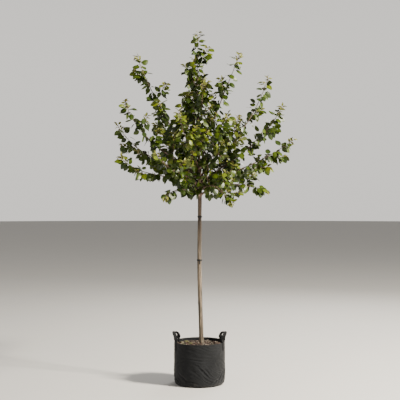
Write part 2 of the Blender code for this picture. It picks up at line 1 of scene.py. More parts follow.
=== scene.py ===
# %% [markdown]
# # A young pear tree in a felt planting bag
#
# This lesson dresses a packed tree model in Blender. The model arrives as plain solids: a bag, a
# root ball, a trunk, boughs, two tree ties and masses of foliage. They say how large everything is
# and where it stands. Each one is then covered by a piece with the real shape and finish: felt,
# webbing, bark chips, living bark and some thousands of leaves.
#
# Every cell makes one thing and prints what it made, so the script can be read from top to bottom.

import math
import random

import bmesh
import bpy
import numpy as np
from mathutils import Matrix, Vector, kdtree, noise


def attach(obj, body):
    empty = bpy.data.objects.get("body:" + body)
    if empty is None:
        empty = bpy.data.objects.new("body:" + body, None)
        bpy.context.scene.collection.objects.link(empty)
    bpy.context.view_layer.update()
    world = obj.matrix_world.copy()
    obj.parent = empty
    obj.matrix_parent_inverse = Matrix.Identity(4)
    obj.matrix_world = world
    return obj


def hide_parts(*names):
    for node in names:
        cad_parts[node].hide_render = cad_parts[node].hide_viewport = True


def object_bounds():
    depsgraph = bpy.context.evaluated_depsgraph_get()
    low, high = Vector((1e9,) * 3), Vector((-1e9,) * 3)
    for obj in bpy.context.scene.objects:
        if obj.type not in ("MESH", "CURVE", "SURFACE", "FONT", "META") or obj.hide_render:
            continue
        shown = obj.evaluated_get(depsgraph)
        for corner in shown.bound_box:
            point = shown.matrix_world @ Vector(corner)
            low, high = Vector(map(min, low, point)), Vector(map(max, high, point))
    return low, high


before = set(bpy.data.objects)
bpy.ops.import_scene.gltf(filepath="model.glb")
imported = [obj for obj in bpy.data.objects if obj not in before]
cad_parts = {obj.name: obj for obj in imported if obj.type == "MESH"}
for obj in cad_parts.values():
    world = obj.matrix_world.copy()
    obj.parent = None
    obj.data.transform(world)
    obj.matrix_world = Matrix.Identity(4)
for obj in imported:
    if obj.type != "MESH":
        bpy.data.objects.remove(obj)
cad_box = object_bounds()
BODY = "root"
print(len(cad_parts), "solids, from", tuple(cad_box[0]), "to", tuple(cad_box[1]))

# %% [markdown]
# ## Camera, floor and light
#
# A small tree is best seen from some way off with a long lens, level with the middle of its stem,
# so that the stem stays upright and the crown isn't stretched. The floor is a wide pale disc. One
# large soft lamp from the front right gives the leaves their gloss, a weaker one opens up the left
# side, and the pale sky all round fills the shadows.

# %% Camera
CAMERA_AT = (0.004, -7.6, 1.62)
SENSOR_MM = 36.0
FRAME_PIXELS = 400
FOCAL_PIXELS = 859
LENS_MM = FOCAL_PIXELS / FRAME_PIXELS * SENSOR_MM

camera_data = bpy.data.cameras.new("camera")
camera_data.sensor_width = SENSOR_MM
camera_data.lens = LENS_MM
camera = bpy.data.objects.new("camera", camera_data)
camera.location = CAMERA_AT
camera.rotation_euler = (math.radians(90), 0.0, 0.0)
bpy.context.scene.collection.objects.link(camera)
bpy.context.scene.camera = camera
print(f"lens {LENS_MM:.1f} mm, {abs(CAMERA_AT[1])} m from the stem")

# %% Light
SKY_COLOUR = (0.95, 0.92, 0.87)
SKY_STRENGTHS = (
    # height of the direction, strength
    (0.0, 1.0),
    (0.24, 0.95),
    (0.36, 0.42),
    (1.0, 0.34),
)
LAMPS = (
    # name, place, aimed at, size in metres, power in watts, colour
    ("key_lamp", (7.0, -3.6, 5.9), (0.0, 0.0, 1.7), 1.4, 3100.0, (1.0, 0.93, 0.80)),
    ("fill_lamp", (-5.5, -4.5, 2.8), (0.0, 0.0, 1.4), 4.0, 30.0, (0.90, 0.95, 1.0)),
    ("rim_lamp", (2.5, 5.5, 5.0), (0.0, 0.0, 2.0), 3.0, 250.0, (1.0, 0.98, 0.94)),
)

world = bpy.data.worlds.new("sky")
world.use_nodes = True
sky = world.node_tree.nodes
sky["Background"].inputs["Color"].default_value = (*SKY_COLOUR, 1.0)
direction = sky.new("ShaderNodeTexCoord").outputs["Generated"]
height = sky.new("ShaderNodeSeparateXYZ")
strength = sky.new("ShaderNodeFloatCurve")
world.node_tree.links.new(direction, height.inputs[0])
world.node_tree.links.new(height.outputs["Z"], strength.inputs["Value"])
world.node_tree.links.new(strength.outputs["Value"], sky["Background"].inputs["Strength"])
curve = strength.mapping
curve.clip_max_y = 2.0
points = curve.curves[0].points
while len(points) < len(SKY_STRENGTHS):
    points.new(0.5, 0.5)
for point, (x, y) in zip(points, SKY_STRENGTHS):
    point.location = (x, y)
curve.update()
bpy.context.scene.world = world
for name, place, aim, size, power, colour in LAMPS:
    lamp_data = bpy.data.lights.new(name, "AREA")
    lamp_data.size, lamp_data.energy, lamp_data.color = size, power, colour
    lamp = bpy.data.objects.new(name, lamp_data)
    lamp.location = place
    lamp.rotation_euler = (Vector(aim) - Vector(place)).to_track_quat("-Z", "Y").to_euler()
    bpy.context.scene.collection.objects.link(lamp)
print(len(LAMPS), "lamps")

# %% [markdown]
# ## Finishes
#
# Felt, bark and leaves have no picture on them: their look is a fine mixture of noise at several
# sizes. A finish below is a material whose nodes all read the object's own coordinates in metres,
# so a noise scale of 100 gives specks of about a centimetre. Colours that vary are mixed by noise,
# fine relief goes in as bump, and what is the same all over is set on the shader itself.


# %% A finish and its nodes
class Finish:
    """A material, and short ways to add the nodes that give it colour and relief."""

    def __init__(self, name, roughness, **settings):
        self.material = bpy.data.materials.new(name)
        self.material.use_nodes = True
        self.tree = self.material.node_tree
        self.shader = self.tree.nodes["Principled BSDF"]
        self.shader.inputs["Roughness"].default_value = roughness
        for socket, value in settings.items():
            self.shader.inputs[socket.replace("_", " ")].default_value = value
        self.place = self.node("ShaderNodeTexCoord").outputs["Object"]
        self.height = None

    def node(self, kind, **settings):
        """A new node, with these properties."""
        made = self.tree.nodes.new(kind)
        for key, value in settings.items():
            setattr(made, key, value)
        return made

    def join(self, source, socket):
        """A link from an output to an input."""
        self.tree.links.new(source, socket)

    def stretched(self, scale):
        """The object's coordinates, multiplied by a scale for each axis."""
        made = self.filled("ShaderNodeMapping", {"Scale": scale})
        self.join(self.place, made.inputs["Vector"])
        return made.outputs["Vector"]

    def filled(self, kind, inputs, **settings):
        """A node whose named inputs are set to plain values."""
        made = self.node(kind, **settings)
        for socket, value in inputs.items():
            made.inputs[socket].default_value = value
        return made

    def noise(self, scale, stretch=None, detail=4.0, roughness=0.55, distortion=0.0):
        """Cloudy noise with about this many lumps in a metre."""
        inputs = {"Scale": scale, "Detail": detail, "Roughness": roughness}
        made = self.filled("ShaderNodeTexNoise", {**inputs, "Distortion": distortion})
        self.join(self.stretched(stretch) if stretch else self.place, made.inputs["Vector"])
        return made.outputs["Fac"]

    def cells(self, scale, stretch):
        """Distance to the nearest of many scattered points."""
        made = self.filled("ShaderNodeTexVoronoi", {"Scale": scale})
        self.join(self.stretched(stretch), made.inputs["Vector"])
        return made.outputs["Distance"]

    def steps(self, factor, low, high):
        """0 where factor is under low, 1 over high, and smooth between."""
        inputs = {"From Min": low, "From Max": high}
        made = self.filled("ShaderNodeMapRange", inputs, interpolation_type="SMOOTHSTEP")
        self.join(factor, made.inputs["Value"])
        return made.outputs["Result"]

    def combined(self, operation, first, second):
        """Two numbers or outputs of nodes, put together by a math operation."""
        made = self.node("ShaderNodeMath", operation=operation)
        for value, socket in zip((first, second), made.inputs):
            if isinstance(value, (int, float)):
                socket.default_value = value
            else:
                self.join(value, socket)
        return made.outputs[0]

    def parts_of(self, vector):
        """The x, y and z of a vector, each as an output of its own."""
        made = self.node("ShaderNodeSeparateXYZ")
        self.join(vector, made.inputs[0])
        return made.outputs

    def mixed(self, factor, first, second):
        """A colour between two, each a colour or another node's output."""
        made = self.node("ShaderNodeMix", data_type="RGBA")
        self.join(factor, made.inputs["Factor"])
        for value, socket in ((first, made.inputs[6]), (second, made.inputs[7])):
            if isinstance(value, tuple):
                socket.default_value = (*value, 1.0)
            else:
                self.join(value, socket)
        return made.outputs[2]

    def coloured(self, colour):
        """The shader takes its colour from this output."""
        self.join(colour, self.shader.inputs["Base Color"])

    def roughened(self, factor, low, high):
        """Roughness that follows a noise from low to high."""
        made = self.filled("ShaderNodeMapRange", {"To Min": low, "To Max": high})
        self.join(factor, made.inputs["Value"])
        self.join(made.outputs["Result"], self.shader.inputs["Roughness"])

    def bumped(self, height, distance, strength=1.0):
        """Relief of this height in metres, laid over what is there already."""
        made = self.filled("ShaderNodeBump", {"Strength": strength, "Distance": distance})
        self.join(height, made.inputs["Height"])
        if self.height:
            self.join(self.height, made.inputs["Normal"])
        self.height = made.outputs["Normal"]
        self.join(self.height, self.shader.inputs["Normal"])


print("finish helpers ready")

# %% Floor
FLOOR_RADIUS = 60.0
FLOOR_SIDES = 96
FLOOR_COLOUR = (0.66, 0.645, 0.62)
FLOOR_LIGHTER = 1.04

floor_finish = Finish("pale_floor", 0.9)
floor_tone = floor_finish.noise(1.3, detail=3.0)
lighter_floor = tuple(c * FLOOR_LIGHTER for c in FLOOR_COLOUR)
floor_finish.coloured(floor_finish.mixed(floor_tone, FLOOR_COLOUR, lighter_floor))
floor_mesh = bpy.data.meshes.new("floor")
floor_work = bmesh.new()
bmesh.ops.create_circle(floor_work, cap_ends=True, radius=FLOOR_RADIUS, segments=FLOOR_SIDES)
floor_work.to_mesh(floor_mesh)
floor_work.free()
floor_mesh.materials.append(floor_finish.material)
floor = bpy.data.objects.new("floor", floor_mesh)
bpy.context.scene.collection.objects.link(floor)
print(f"floor {2 * FLOOR_RADIUS:.0f} m across")

# %% [markdown]
# ## Making meshes
#
# Large numbers of small shapes are quickest as arrays: all points in one list, all faces in
# another. The helpers here turn such lists into an object that rides on the tree's one body,
# stands for the solids that it covers, and carries the finishes that it is given.


# %% Pieces from arrays
SHARP_DEG = 50


def make_piece(name, points, faces, finishes, stands_for, uv=None, which=None):
    """One visible piece, which stands for the solids that stands_for names. faces lists the corner
    numbers of each face. uv has a pair for each point, and which gives the finish of each face."""
    mesh = bpy.data.meshes.new(name)
    mesh.from_pydata(np.asarray(points, dtype=float), [], faces)
    for finish in finishes:
        mesh.materials.append(finish.material)
    if which is not None:
        mesh.polygons.foreach_set("material_index", np.asarray(which, dtype=np.int32))
    if uv is not None:
        layer = mesh.uv_layers.new(name="UVMap")
        corners = np.empty(len(mesh.loops), dtype=np.int32)
        mesh.loops.foreach_get("vertex_index", corners)
        layer.data.foreach_set("uv", np.asarray(uv, dtype=np.float32)[corners].ravel())
    mesh.shade_smooth()
    mesh.set_sharp_from_angle(angle=math.radians(SHARP_DEG))
    mesh.update()
    piece = bpy.data.objects.new(name, mesh)
    bpy.context.scene.collection.objects.link(piece)
    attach(piece, BODY)
    if stands_for:
        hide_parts(*stands_for)
    mesh.calc_loop_triangles()
    print(f"{name}: {len(mesh.loop_triangles)} triangles")
    return piece


print(f"edges over {SHARP_DEG} degrees stay sharp")


# %% Faces between rows of points
def grid_faces(rows, columns):
    """Four-sided faces between rows of points. The last column joins the first."""
    row, column = np.meshgrid(np.arange(rows - 1), np.arange(columns), indexing="ij")
    after = (column + 1) % columns
    corners = (row * columns + column, row * columns + after)
    corners += ((row + 1) * columns + after, (row + 1) * columns + column)
    return np.stack([c.ravel() for c in corners], axis=1)


def capped_grid(rows, columns):
    """The same faces as a list, with one more on the first row and one on the last."""
    last = (rows - 1) * columns
    ends = [list(reversed(range(columns))), list(range(last, last + columns))]
    return grid_faces(rows, columns).tolist() + ends


def end_fans(columns, last_row, count, turned=False):
    """Triangles from the first row to the second last of count points, and from the last row to
    the last point. turned makes them face the other way."""
    faces = []
    for k in range(columns):
        a, b = (k + 1) % columns, k
        if turned:
            a, b = b, a
        faces += [[a, b, count - 2], [last_row + b, last_row + a, count - 1]]
    return faces


class Heap:
    """Collects many small shapes that end up in one piece."""

    def __init__(self):
        self.points, self.faces, self.count = [], [], 0

    def add(self, points, faces):
        self.faces += [[corner + self.count for corner in face] for face in faces]
        self.points += [tuple(p) for p in points]
        self.count += len(points)


print(len(grid_faces(3, 4)), "faces between three rows of four points")


# %% Numbers, places and noise
def between(stations, x):
    """Straight-line value at x through (x, value) stations, level past the ends."""
    if x <= stations[0][0]:
        return stations[0][1]
    for (x0, v0), (x1, v1) in zip(stations, stations[1:]):
        if x <= x1:
            return v0 + (v1 - v0) * (x - x0) / (x1 - x0)
    return stations[-1][1]


def spread(low, high, count):
    """count numbers at even steps from low to high, both of them included."""
    return [low + (high - low) * i / (count - 1) for i in range(count)]


def eased(x, low, high):
    """0 under low, 1 over high, smooth between."""
    share = min(max((x - low) / (high - low), 0.0), 1.0)
    return share * share * (3 - 2 * share)


def outward(azimuth_deg):
    """Level unit vector at this azimuth, counter-clockwise from the right."""
    a = math.radians(azimuth_deg)
    return Vector((math.cos(a), math.sin(a), 0.0))


def polar(azimuth_deg, radius, z):
    """Point at this azimuth, this far from the middle of the bag and this high."""
    return outward(azimuth_deg) * radius + Vector((0.0, 0.0, z))


def noise_at(x, y, z):
    """Smooth noise at a place, as a number between -1 and 1."""
    return noise.noise(Vector((x, y, z)))


def turn_between(first_deg, second_deg):
    """How far apart two azimuths are, from -180 to 180."""
    return (first_deg - second_deg + 180) % 360 - 180


print("noise at one place:", round(noise_at(0.2, 0.5, 0.1), 3))

# %% [markdown]
# ## The felt bag
#
# A planting bag is a round pot sewn from thick felt: one long strip for the wall, joined by one
# upright seam, and a disc for the bottom. Felt is stiff enough to stand, but it sags a little
# between its seams, and it creases where the full bag has been dragged and set down.
#
# A cloth simulation would have to be told how heavy soil pushes on felt, and the wall hardly moves
# in the end. A lofted shell gives the same shape more surely: rings of points from the middle of
# the bottom, up the outside, over the rim and down the inside, each moved in or out by a sag, by
# broad dents and by creases.

# %% Sizes of the bag
BAG_RADIUS = 0.225
BAG_HEIGHT = 0.375
BAG_FOOT_RADIUS = 0.203
FELT_THICKNESS = 0.0042
BAG_PROFILE = ((0.0, 0.902), (0.015, 0.95), (0.06, 0.985), (0.30, 1.0), (0.70, 1.0), (1.0, 0.99))
BAG_COLUMNS = 384
BAG_WALL_ROWS = 140
BAG_SAG = 0.0008
DENT_DEPTH = 0.0026
RIM_WAVE = 0.0028
SIDE_SEAM_DEG = 63.0
SEAM_WIDTH = 0.011
SEAM_RISE = 0.0016
FOOT_SEAM_HEIGHT = 0.016
WRINKLE_HEIGHT = 0.0046
WRINKLE_TILTS_DEG = (-34, -6)
WRINKLE_CENTRE_DEG = -58
WRINKLE_SPREAD_DEG = 42
WRINKLE_LEAST = 0.25
CREASES = [
    # azimuth, height, half length, tilt from level, depth, half width
    (-38, 0.085, 0.060, 52, 0.0062, 0.0090),
    (-27, 0.060, 0.050, 38, 0.0052, 0.0080),
    (-50, 0.055, 0.055, 30, 0.0056, 0.0085),
    (-18, 0.110, 0.065, 60, 0.0048, 0.0085),
    (-64, 0.045, 0.060, 18, 0.0046, 0.0075),
    (-105, 0.050, 0.060, -16, 0.0036, 0.0080),
    (-128, 0.080, 0.070, -34, 0.0040, 0.0100),
    (-152, 0.055, 0.055, -22, 0.0042, 0.0085),
    (-82, 0.150, 0.080, 10, 0.0026, 0.0120),
    (-140, 0.210, 0.075, 24, 0.0028, 0.0120),
    (-30, 0.215, 0.070, -28, 0.0026, 0.0110),
    (15, 0.070, 0.060, 40, 0.0046, 0.0090),
    (48, 0.050, 0.050, -26, 0.0042, 0.0085),
    (96, 0.075, 0.070, 30, 0.0044, 0.0095),
    (122, 0.120, 0.065, -44, 0.0038, 0.0100),
    (158, 0.060, 0.055, 20, 0.0044, 0.0085),
    (186, 0.095, 0.065, -38, 0.0040, 0.0095),
    (205, 0.045, 0.050, 14, 0.0038, 0.0080),
]
print(f"bag {2 * BAG_RADIUS:.2f} m across, {len(CREASES)} creases")


# %% Profile, creases and wrinkles
def smooth_profile(share):
    """Radius of the bare bag at this share of its height. Three nearby values are averaged, which
    rounds the corners of the profile."""
    return sum(between(BAG_PROFILE, share + 0.02 * k) for k in (-1, 0, 1)) / 3 * BAG_RADIUS


def crease_relief(azimuth, z):
    """What the creases add to the radius: a sharp valley with a soft ridge on either side."""
    total = 0.0
    for centre, height, half_length, tilt, depth, half_width in CREASES:
        x = math.radians(turn_between(azimuth, centre)) * BAG_RADIUS
        y = z - height
        if abs(x) > 2 * half_length or abs(y) > 2 * half_length:
            continue
        a = math.radians(tilt)
        along = x * math.cos(a) + y * math.sin(a)
        across = y * math.cos(a) - x * math.sin(a) + 0.12 * along * along / half_length
        fade = math.exp(-((along / half_length) ** 2) * 1.6)
        u = across / half_width
        ridge = 0.55 * math.exp(-((abs(u) - 1.5) ** 2) * 1.2)
        total += depth * fade * (ridge - math.exp(-u * u * 1.4))
    return total


def folds_along(x, z, tilt_deg, seed):
    """A field of narrow ridges that run across the wall at tilt_deg."""
    tilt = math.radians(tilt_deg)
    along = x * math.cos(tilt) + z * math.sin(tilt)
    across = z * math.cos(tilt) - x * math.sin(tilt)
    wander = noise_at(along * 6, across * 10, seed)
    folds = 1 - 2.6 * abs(noise_at(along * 9, across * 38 + wander, seed + 2))
    fine = noise_at(along * 16, across * 62, seed + 7)
    return folds + 0.30 * fine


def wrinkle_relief(azimuth, z):
    """Fine wrinkles all over the felt: nearly level high up and falling to the right lower down.
    They are deepest on the right of the front, where the bag was pushed in."""
    x = math.radians(azimuth) * BAG_RADIUS
    low, high = WRINKLE_TILTS_DEG
    share = eased(z, 0.13, 0.25)
    folds = folds_along(x, z, low, 1.0) * (1 - share) + folds_along(x, z, high, 11.0) * share
    pushed = math.exp(-((turn_between(azimuth, WRINKLE_CENTRE_DEG) / WRINKLE_SPREAD_DEG) ** 2))
    calm_ends = (1 - 0.4 * eased(z, 0.26, 0.34)) * eased(z, 0.02, 0.07)
    strength = WRINKLE_LEAST + (1 - WRINKLE_LEAST) * pushed * calm_ends
    return WRINKLE_HEIGHT * strength * folds


print(f"wrinkles go in and out by up to {1000 * WRINKLE_HEIGHT:.1f} mm")

# %% The wall of the bag
HANDLE_LEGS_DEG = {"handle_right": (-22.5, 33.75), "handle_left": (202.5, 146.25)}
STRAP_HALF_DEG = 5.5
STRAP_FADE_DEG = 6
STRAP_FLAT_FROM = (0.27, 0.30)
FOOT_SEAM_RISE = 0.0012
FOOT_SEAM_HALF = 0.003
SOFT_FROM = (0.004, 0.05)
RIM_CALM_FROM = (0.345, 0.37)


def strap_calm(azimuth, z):
    """0 where a strap is sewn on, so that the felt lies flat under it, and 1 elsewhere."""
    near = min(abs(turn_between(azimuth, leg)) for legs in HANDLE_LEGS_DEG.values() for leg in legs)
    sideways = eased(near, STRAP_HALF_DEG, STRAP_HALF_DEG + STRAP_FADE_DEG)
    return max(sideways, 1 - eased(z, *STRAP_FLAT_FROM))


def wall_radius(azimuth, z):
    """Outer radius of the felt wall."""
    share = min(max(z / BAG_HEIGHT, 0.0), 1.0)
    out = outward(azimuth)
    dents = noise_at(out.x * 2.1, out.y * 2.1, z * 7.0)
    ripples = noise_at(out.x * 6.0, out.y * 6.0, z * 13.0 + 5.0)
    lift = eased(z, *SOFT_FROM)
    sag = BAG_SAG * math.sin(math.pi * min(share * 1.35, 1.0))
    soft = DENT_DEPTH * dents + 0.35 * DENT_DEPTH * ripples + crease_relief(azimuth, z)
    soft += wrinkle_relief(azimuth, z) * (1 - 0.7 * eased(z, *RIM_CALM_FROM))
    seam_x = math.radians(turn_between(azimuth, SIDE_SEAM_DEG)) * BAG_RADIUS
    on_seam = eased(seam_x, -SEAM_WIDTH, -SEAM_WIDTH + 0.002) * (1 - eased(seam_x, 0.0, 0.003))
    seam = SEAM_RISE * on_seam
    foot_seam = FOOT_SEAM_RISE * math.exp(-(((z - FOOT_SEAM_HEIGHT) / FOOT_SEAM_HALF) ** 2))
    return smooth_profile(share) + (sag + soft * strap_calm(azimuth, z)) * lift + seam + foot_seam


def rim_height(azimuth):
    """Height of the bag's top edge, which waves a little but not where a strap holds it."""
    out = outward(azimuth)
    wave = noise_at(out.x * 1.7 + 3.0, out.y * 1.7, 0.0)
    wave += 0.4 * noise_at(out.x * 5.0, out.y * 5.0, 7.0)
    return BAG_HEIGHT - 0.001 + RIM_WAVE * (wave - 0.2) * strap_calm(azimuth, BAG_HEIGHT)


print(f"front of the wall at mid height: {wall_radius(-90, 0.19):.4f} m")

# %% The shell
RIM_STEPS = 5
INNER_ROWS = 14
INNER_DEPTH = 0.075
BOTTOM_SHARES = (0.0, 0.35, 0.7, 0.93)
FINER_AT_FOOT = 1.25


def bag_column(azimuth):
    """Radius and height of the shell's points at one azimuth, from the middle of the bottom, up
    the outside, over the rim and down the inside."""
    column = [(BAG_FOOT_RADIUS * share, 0.0) for share in BOTTOM_SHARES]
    half = FELT_THICKNESS / 2
    top = rim_height(azimuth) - half
    for row in range(BAG_WALL_ROWS + 1):
        z = top * (row / BAG_WALL_ROWS) ** FINER_AT_FOOT
        column.append((wall_radius(azimuth, z), z))
    edge = wall_radius(azimuth, top) - half
    for step in range(1, RIM_STEPS):
        a = math.pi * step / RIM_STEPS
        column.append((edge + half * math.cos(a), top + half * math.sin(a)))
    for row in range(INNER_ROWS + 1):
        z = top - INNER_DEPTH * row / INNER_ROWS
        column.append((wall_radius(azimuth, z) - FELT_THICKNESS, z))
    return [polar(azimuth, radius, z) for radius, z in column]


columns = [bag_column(360 * k / BAG_COLUMNS) for k in range(BAG_COLUMNS)]
bag_rows = len(columns[0])
bag_points = [columns[k][row] for row in range(1, bag_rows) for k in range(BAG_COLUMNS)]
bag_points += [Vector((0, 0, 0)), Vector((0, 0, BAG_HEIGHT - INNER_DEPTH))]
bag_faces = grid_faces(bag_rows - 1, BAG_COLUMNS).tolist()
bag_faces += end_fans(BAG_COLUMNS, (bag_rows - 2) * BAG_COLUMNS, len(bag_points))
print(f"{bag_rows} rows of {BAG_COLUMNS} points")

# %% [markdown]
# ### Felt
#
# Needle felt is a mat of short fibres with no threads. Close up it is cloudy, with single lighter
# fibres in it, and its face scatters light at a low angle like a soft nap. The fibres are
# stretched noise in two directions, the nap is the shader's sheen, and dust from the ground has
# settled on the lowest few centimetres.

# %% Felt finish
felt = Finish(
    "black_felt", 0.94, Sheen_Weight=0.08, Sheen_Roughness=0.5, Specular_IOR_Level=0.25
)
clouds = felt.steps(felt.noise(7.0, detail=5.0), 0.30, 0.72)
mat_of_fibres = felt.noise(420.0, (1.0, 1.0, 0.45), detail=6.0, roughness=0.7, distortion=1.2)
felt_colour = felt.mixed(clouds, (0.0038, 0.0043, 0.0053), (0.0080, 0.0087, 0.0102))
mat_steps = felt.steps(mat_of_fibres, 0.48, 0.66)
felt_colour = felt.mixed(mat_steps, felt_colour, (0.0138, 0.0149, 0.0172))
light_fibres = felt.noise(150.0, (4.0, 4.0, 0.8), detail=2.0, distortion=2.0)
light_fibres = felt.steps(light_fibres, 0.69, 0.75)
felt_colour = felt.mixed(light_fibres, felt_colour, (0.040, 0.040, 0.040))
height_above_floor = felt.parts_of(felt.place)["Z"]
dust = felt.combined("SUBTRACT", felt.noise(38.0, detail=5.0), height_above_floor)
dust = felt.steps(felt.combined("SUBTRACT", dust, height_above_floor), 0.50, 0.64)
dust = felt.combined("MULTIPLY", dust, felt.steps(height_above_floor, 0.055, 0.0))
felt_colour = felt.mixed(dust, felt_colour, (0.045, 0.040, 0.034))
felt.coloured(felt_colour)
felt.bumped(mat_of_fibres, 0.0012, 0.55)
felt.bumped(felt.noise(95.0, detail=3.0), 0.0012, 0.30)

make_piece("bag_shell", bag_points, bag_faces, [felt], ["bag"])

# %% [markdown]
# ### Stitches
#
# Black thread holds the side seam and the bottom. On felt each stitch is a short raised grain that
# dips into the cloth at both ends. One grain is modelled as a small spindle, and the same function
# lays it along any line of points.


# %% Stitches along a line
STITCH_LENGTH = 0.0042
STITCH_GAP = 0.0016
STITCH_RADIUS = 0.00055
STITCH_SIDES = 6
STITCH_RINGS = ((-0.5, 0.35), (-0.22, 1.0), (0.22, 1.0), (0.5, 0.35))


def add_stitch(heap, at, along, out):
    """One stitch: a spindle whose ends are pressed into the cloth."""
    along = along.normalized()
    side = along.cross(out).normalized()
    up = side.cross(along)
    points = []
    for place, scale in STITCH_RINGS:
        lift = STITCH_RADIUS * (1.1 * scale - 0.7)
        centre = at + along * (place * STITCH_LENGTH) + up * lift
        radius = STITCH_RADIUS * scale
        for k in range(STITCH_SIDES):
            a = math.pi * k / (STITCH_SIDES / 2)
            points.append(centre + (side * math.cos(a) + up * math.sin(a)) * radius)
    heap.add(points, capped_grid(len(STITCH_RINGS), STITCH_SIDES))


def stitch_line(heap, line, outs):
    """Stitches one after another along a line of points, whose cloth faces outs."""
    pitch = STITCH_LENGTH + STITCH_GAP
    walked = pitch / 2
    for (a, b), out in zip(zip(line, line[1:]), outs):
        length = (b - a).length
        while walked < length:
            add_stitch(heap, a + (b - a) * (walked / length), b - a, out)
            walked += pitch
        walked -= length


def on_wall(azimuth, z):
    """Point of the felt's outer face."""
    return polar(azimuth, wall_radius(azimuth, z), z)


def stitches_in(heap):
    """How many stitches a heap holds."""
    return heap.count // (len(STITCH_RINGS) * STITCH_SIDES)


print(f"a stitch every {1000 * (STITCH_LENGTH + STITCH_GAP):.1f} mm")

# %% Stitches in the bag
SEAM_ROWS = (-0.0085, -0.0025)
SEAM_ROW_FOOT = 0.022
SEAM_ROW_SHORTER = 0.030
SEAM_STEPS = 60
FOOT_ROW_ABOVE_SEAM = 0.006

seams = Heap()
for offset in SEAM_ROWS:
    azimuth = SIDE_SEAM_DEG + math.degrees(offset / BAG_RADIUS)
    length = rim_height(azimuth) - SEAM_ROW_SHORTER
    heights = [SEAM_ROW_FOOT + length * i / SEAM_STEPS for i in range(SEAM_STEPS + 1)]
    stitch_line(seams, [on_wall(azimuth, z) for z in heights], [outward(azimuth)] * SEAM_STEPS)
foot_ring = [on_wall(a, FOOT_SEAM_HEIGHT + FOOT_ROW_ABOVE_SEAM) for a in range(0, 361, 2)]
stitch_line(seams, foot_ring, [outward(a + 1) for a in range(0, 360, 2)])
print(stitches_in(seams), "stitches in the bag")

# %% [markdown]
# ## The handles
#
# Each handle is one length of woven webbing. Both ends are sewn flat on the outside of the wall,
# and between them the strap stands up in a hoop. A flat strap that is bent into such a hoop turns
# its width outwards on the way up, so the piece follows a line of stations, each with its own
# width direction. Ribs of the weave run across the strap and are part of the mesh.

# %% Course of a strap
STRAP_WIDTH = 0.034
STRAP_THICKNESS = 0.0036
STRAP_SEWN_LENGTH = 0.070
STRAP_FREE_LEG = 0.022
STRAP_ARCH_HEIGHT = 0.055
STRAP_TWIST_HEIGHT = 0.036
STRAP_ARCH_STEPS = 40
STRAP_SEWN_STEPS = 12
RIB_PITCH = 0.0022
RIB_RISE = 0.00028
SELVEDGE_RISE = 0.0003
SELVEDGE_FROM_EDGE = (0.004, 0.0025)
STRAP_GAP = 0.0003
BOX_HALF_WIDTH = 0.0125
BOX_DROPS = (-0.006, -0.064)
BOX_STEPS = 24


def strap_radius(azimuth, z):
    """Radius of the middle of the strap where it lies on the felt."""
    return wall_radius(azimuth, z) + STRAP_GAP + STRAP_THICKNESS / 2


def strap_stations(legs_deg):
    """(centre, width direction) pairs along one strap, from one sewn end over the hoop to the
    other. The hoop stands over the round of the rim."""
    first, last = legs_deg
    middle, half_turn = (first + last) / 2, (last - first) / 2
    turn = math.copysign(90, half_turn)

    def station(azimuth, z):
        share = eased(z, BAG_HEIGHT, BAG_HEIGHT + STRAP_TWIST_HEIGHT)
        side = 1 if abs(azimuth - first) < abs(azimuth - last) else -1
        radius = strap_radius(first if side == 1 else last, min(z, BAG_HEIGHT))
        return polar(azimuth, radius, z), outward(azimuth + side * turn * (1 - share))

    drops = range(STRAP_SEWN_STEPS, 0, -1)
    sewn = [BAG_HEIGHT - STRAP_SEWN_LENGTH * drop / STRAP_SEWN_STEPS for drop in drops]
    free = [BAG_HEIGHT + STRAP_FREE_LEG * k / 4 for k in range(4)]
    hoop = []
    for step in range(STRAP_ARCH_STEPS + 1):
        a = math.pi * step / STRAP_ARCH_STEPS
        z = BAG_HEIGHT + STRAP_FREE_LEG + STRAP_ARCH_HEIGHT * math.sin(a)
        hoop.append(station(middle - half_turn * math.cos(a), z))
    rising = [station(first, z) for z in sewn + free]
    falling = [station(last, z) for z in reversed(sewn + free)]
    return rising + hoop + falling


print(len(strap_stations(HANDLE_LEGS_DEG["handle_left"])), "stations along a strap")


# %% Spacing and section of a strap
def resampled(stations, spacing):
    """Stations at an even spacing along the same line."""
    lengths = [0.0]
    for (a, _), (b, _) in zip(stations, stations[1:]):
        lengths.append(lengths[-1] + (b - a).length)
    count = math.ceil(lengths[-1] / spacing)
    found, k = [], 0
    for i in range(count + 1):
        distance = lengths[-1] * i / count
        while k < len(lengths) - 2 and lengths[k + 1] < distance:
            k += 1
        share = (distance - lengths[k]) / max(lengths[k + 1] - lengths[k], 1e-9)
        (a, wide_a), (b, wide_b) = stations[k], stations[k + 1]
        found.append((a.lerp(b, share), wide_a.lerp(wide_b, share).normalized(), distance))
    return found


def strap_section():
    """(place across, place through, which face) round the strap's section, with rounded edges."""
    half = STRAP_WIDTH / 2 - STRAP_THICKNESS / 2
    across = [half * (2 * i / 8 - 1) for i in range(9)]
    edge = STRAP_THICKNESS / 2 * 0.9
    section = [(x, -STRAP_THICKNESS / 2, -1) for x in across] + [(half + edge, 0.0, 0)]
    section += [(x, STRAP_THICKNESS / 2, 1) for x in reversed(across)] + [(-half - edge, 0.0, 0)]
    return section


SECTION = strap_section()
print(f"{len(SECTION)} points round a strap")

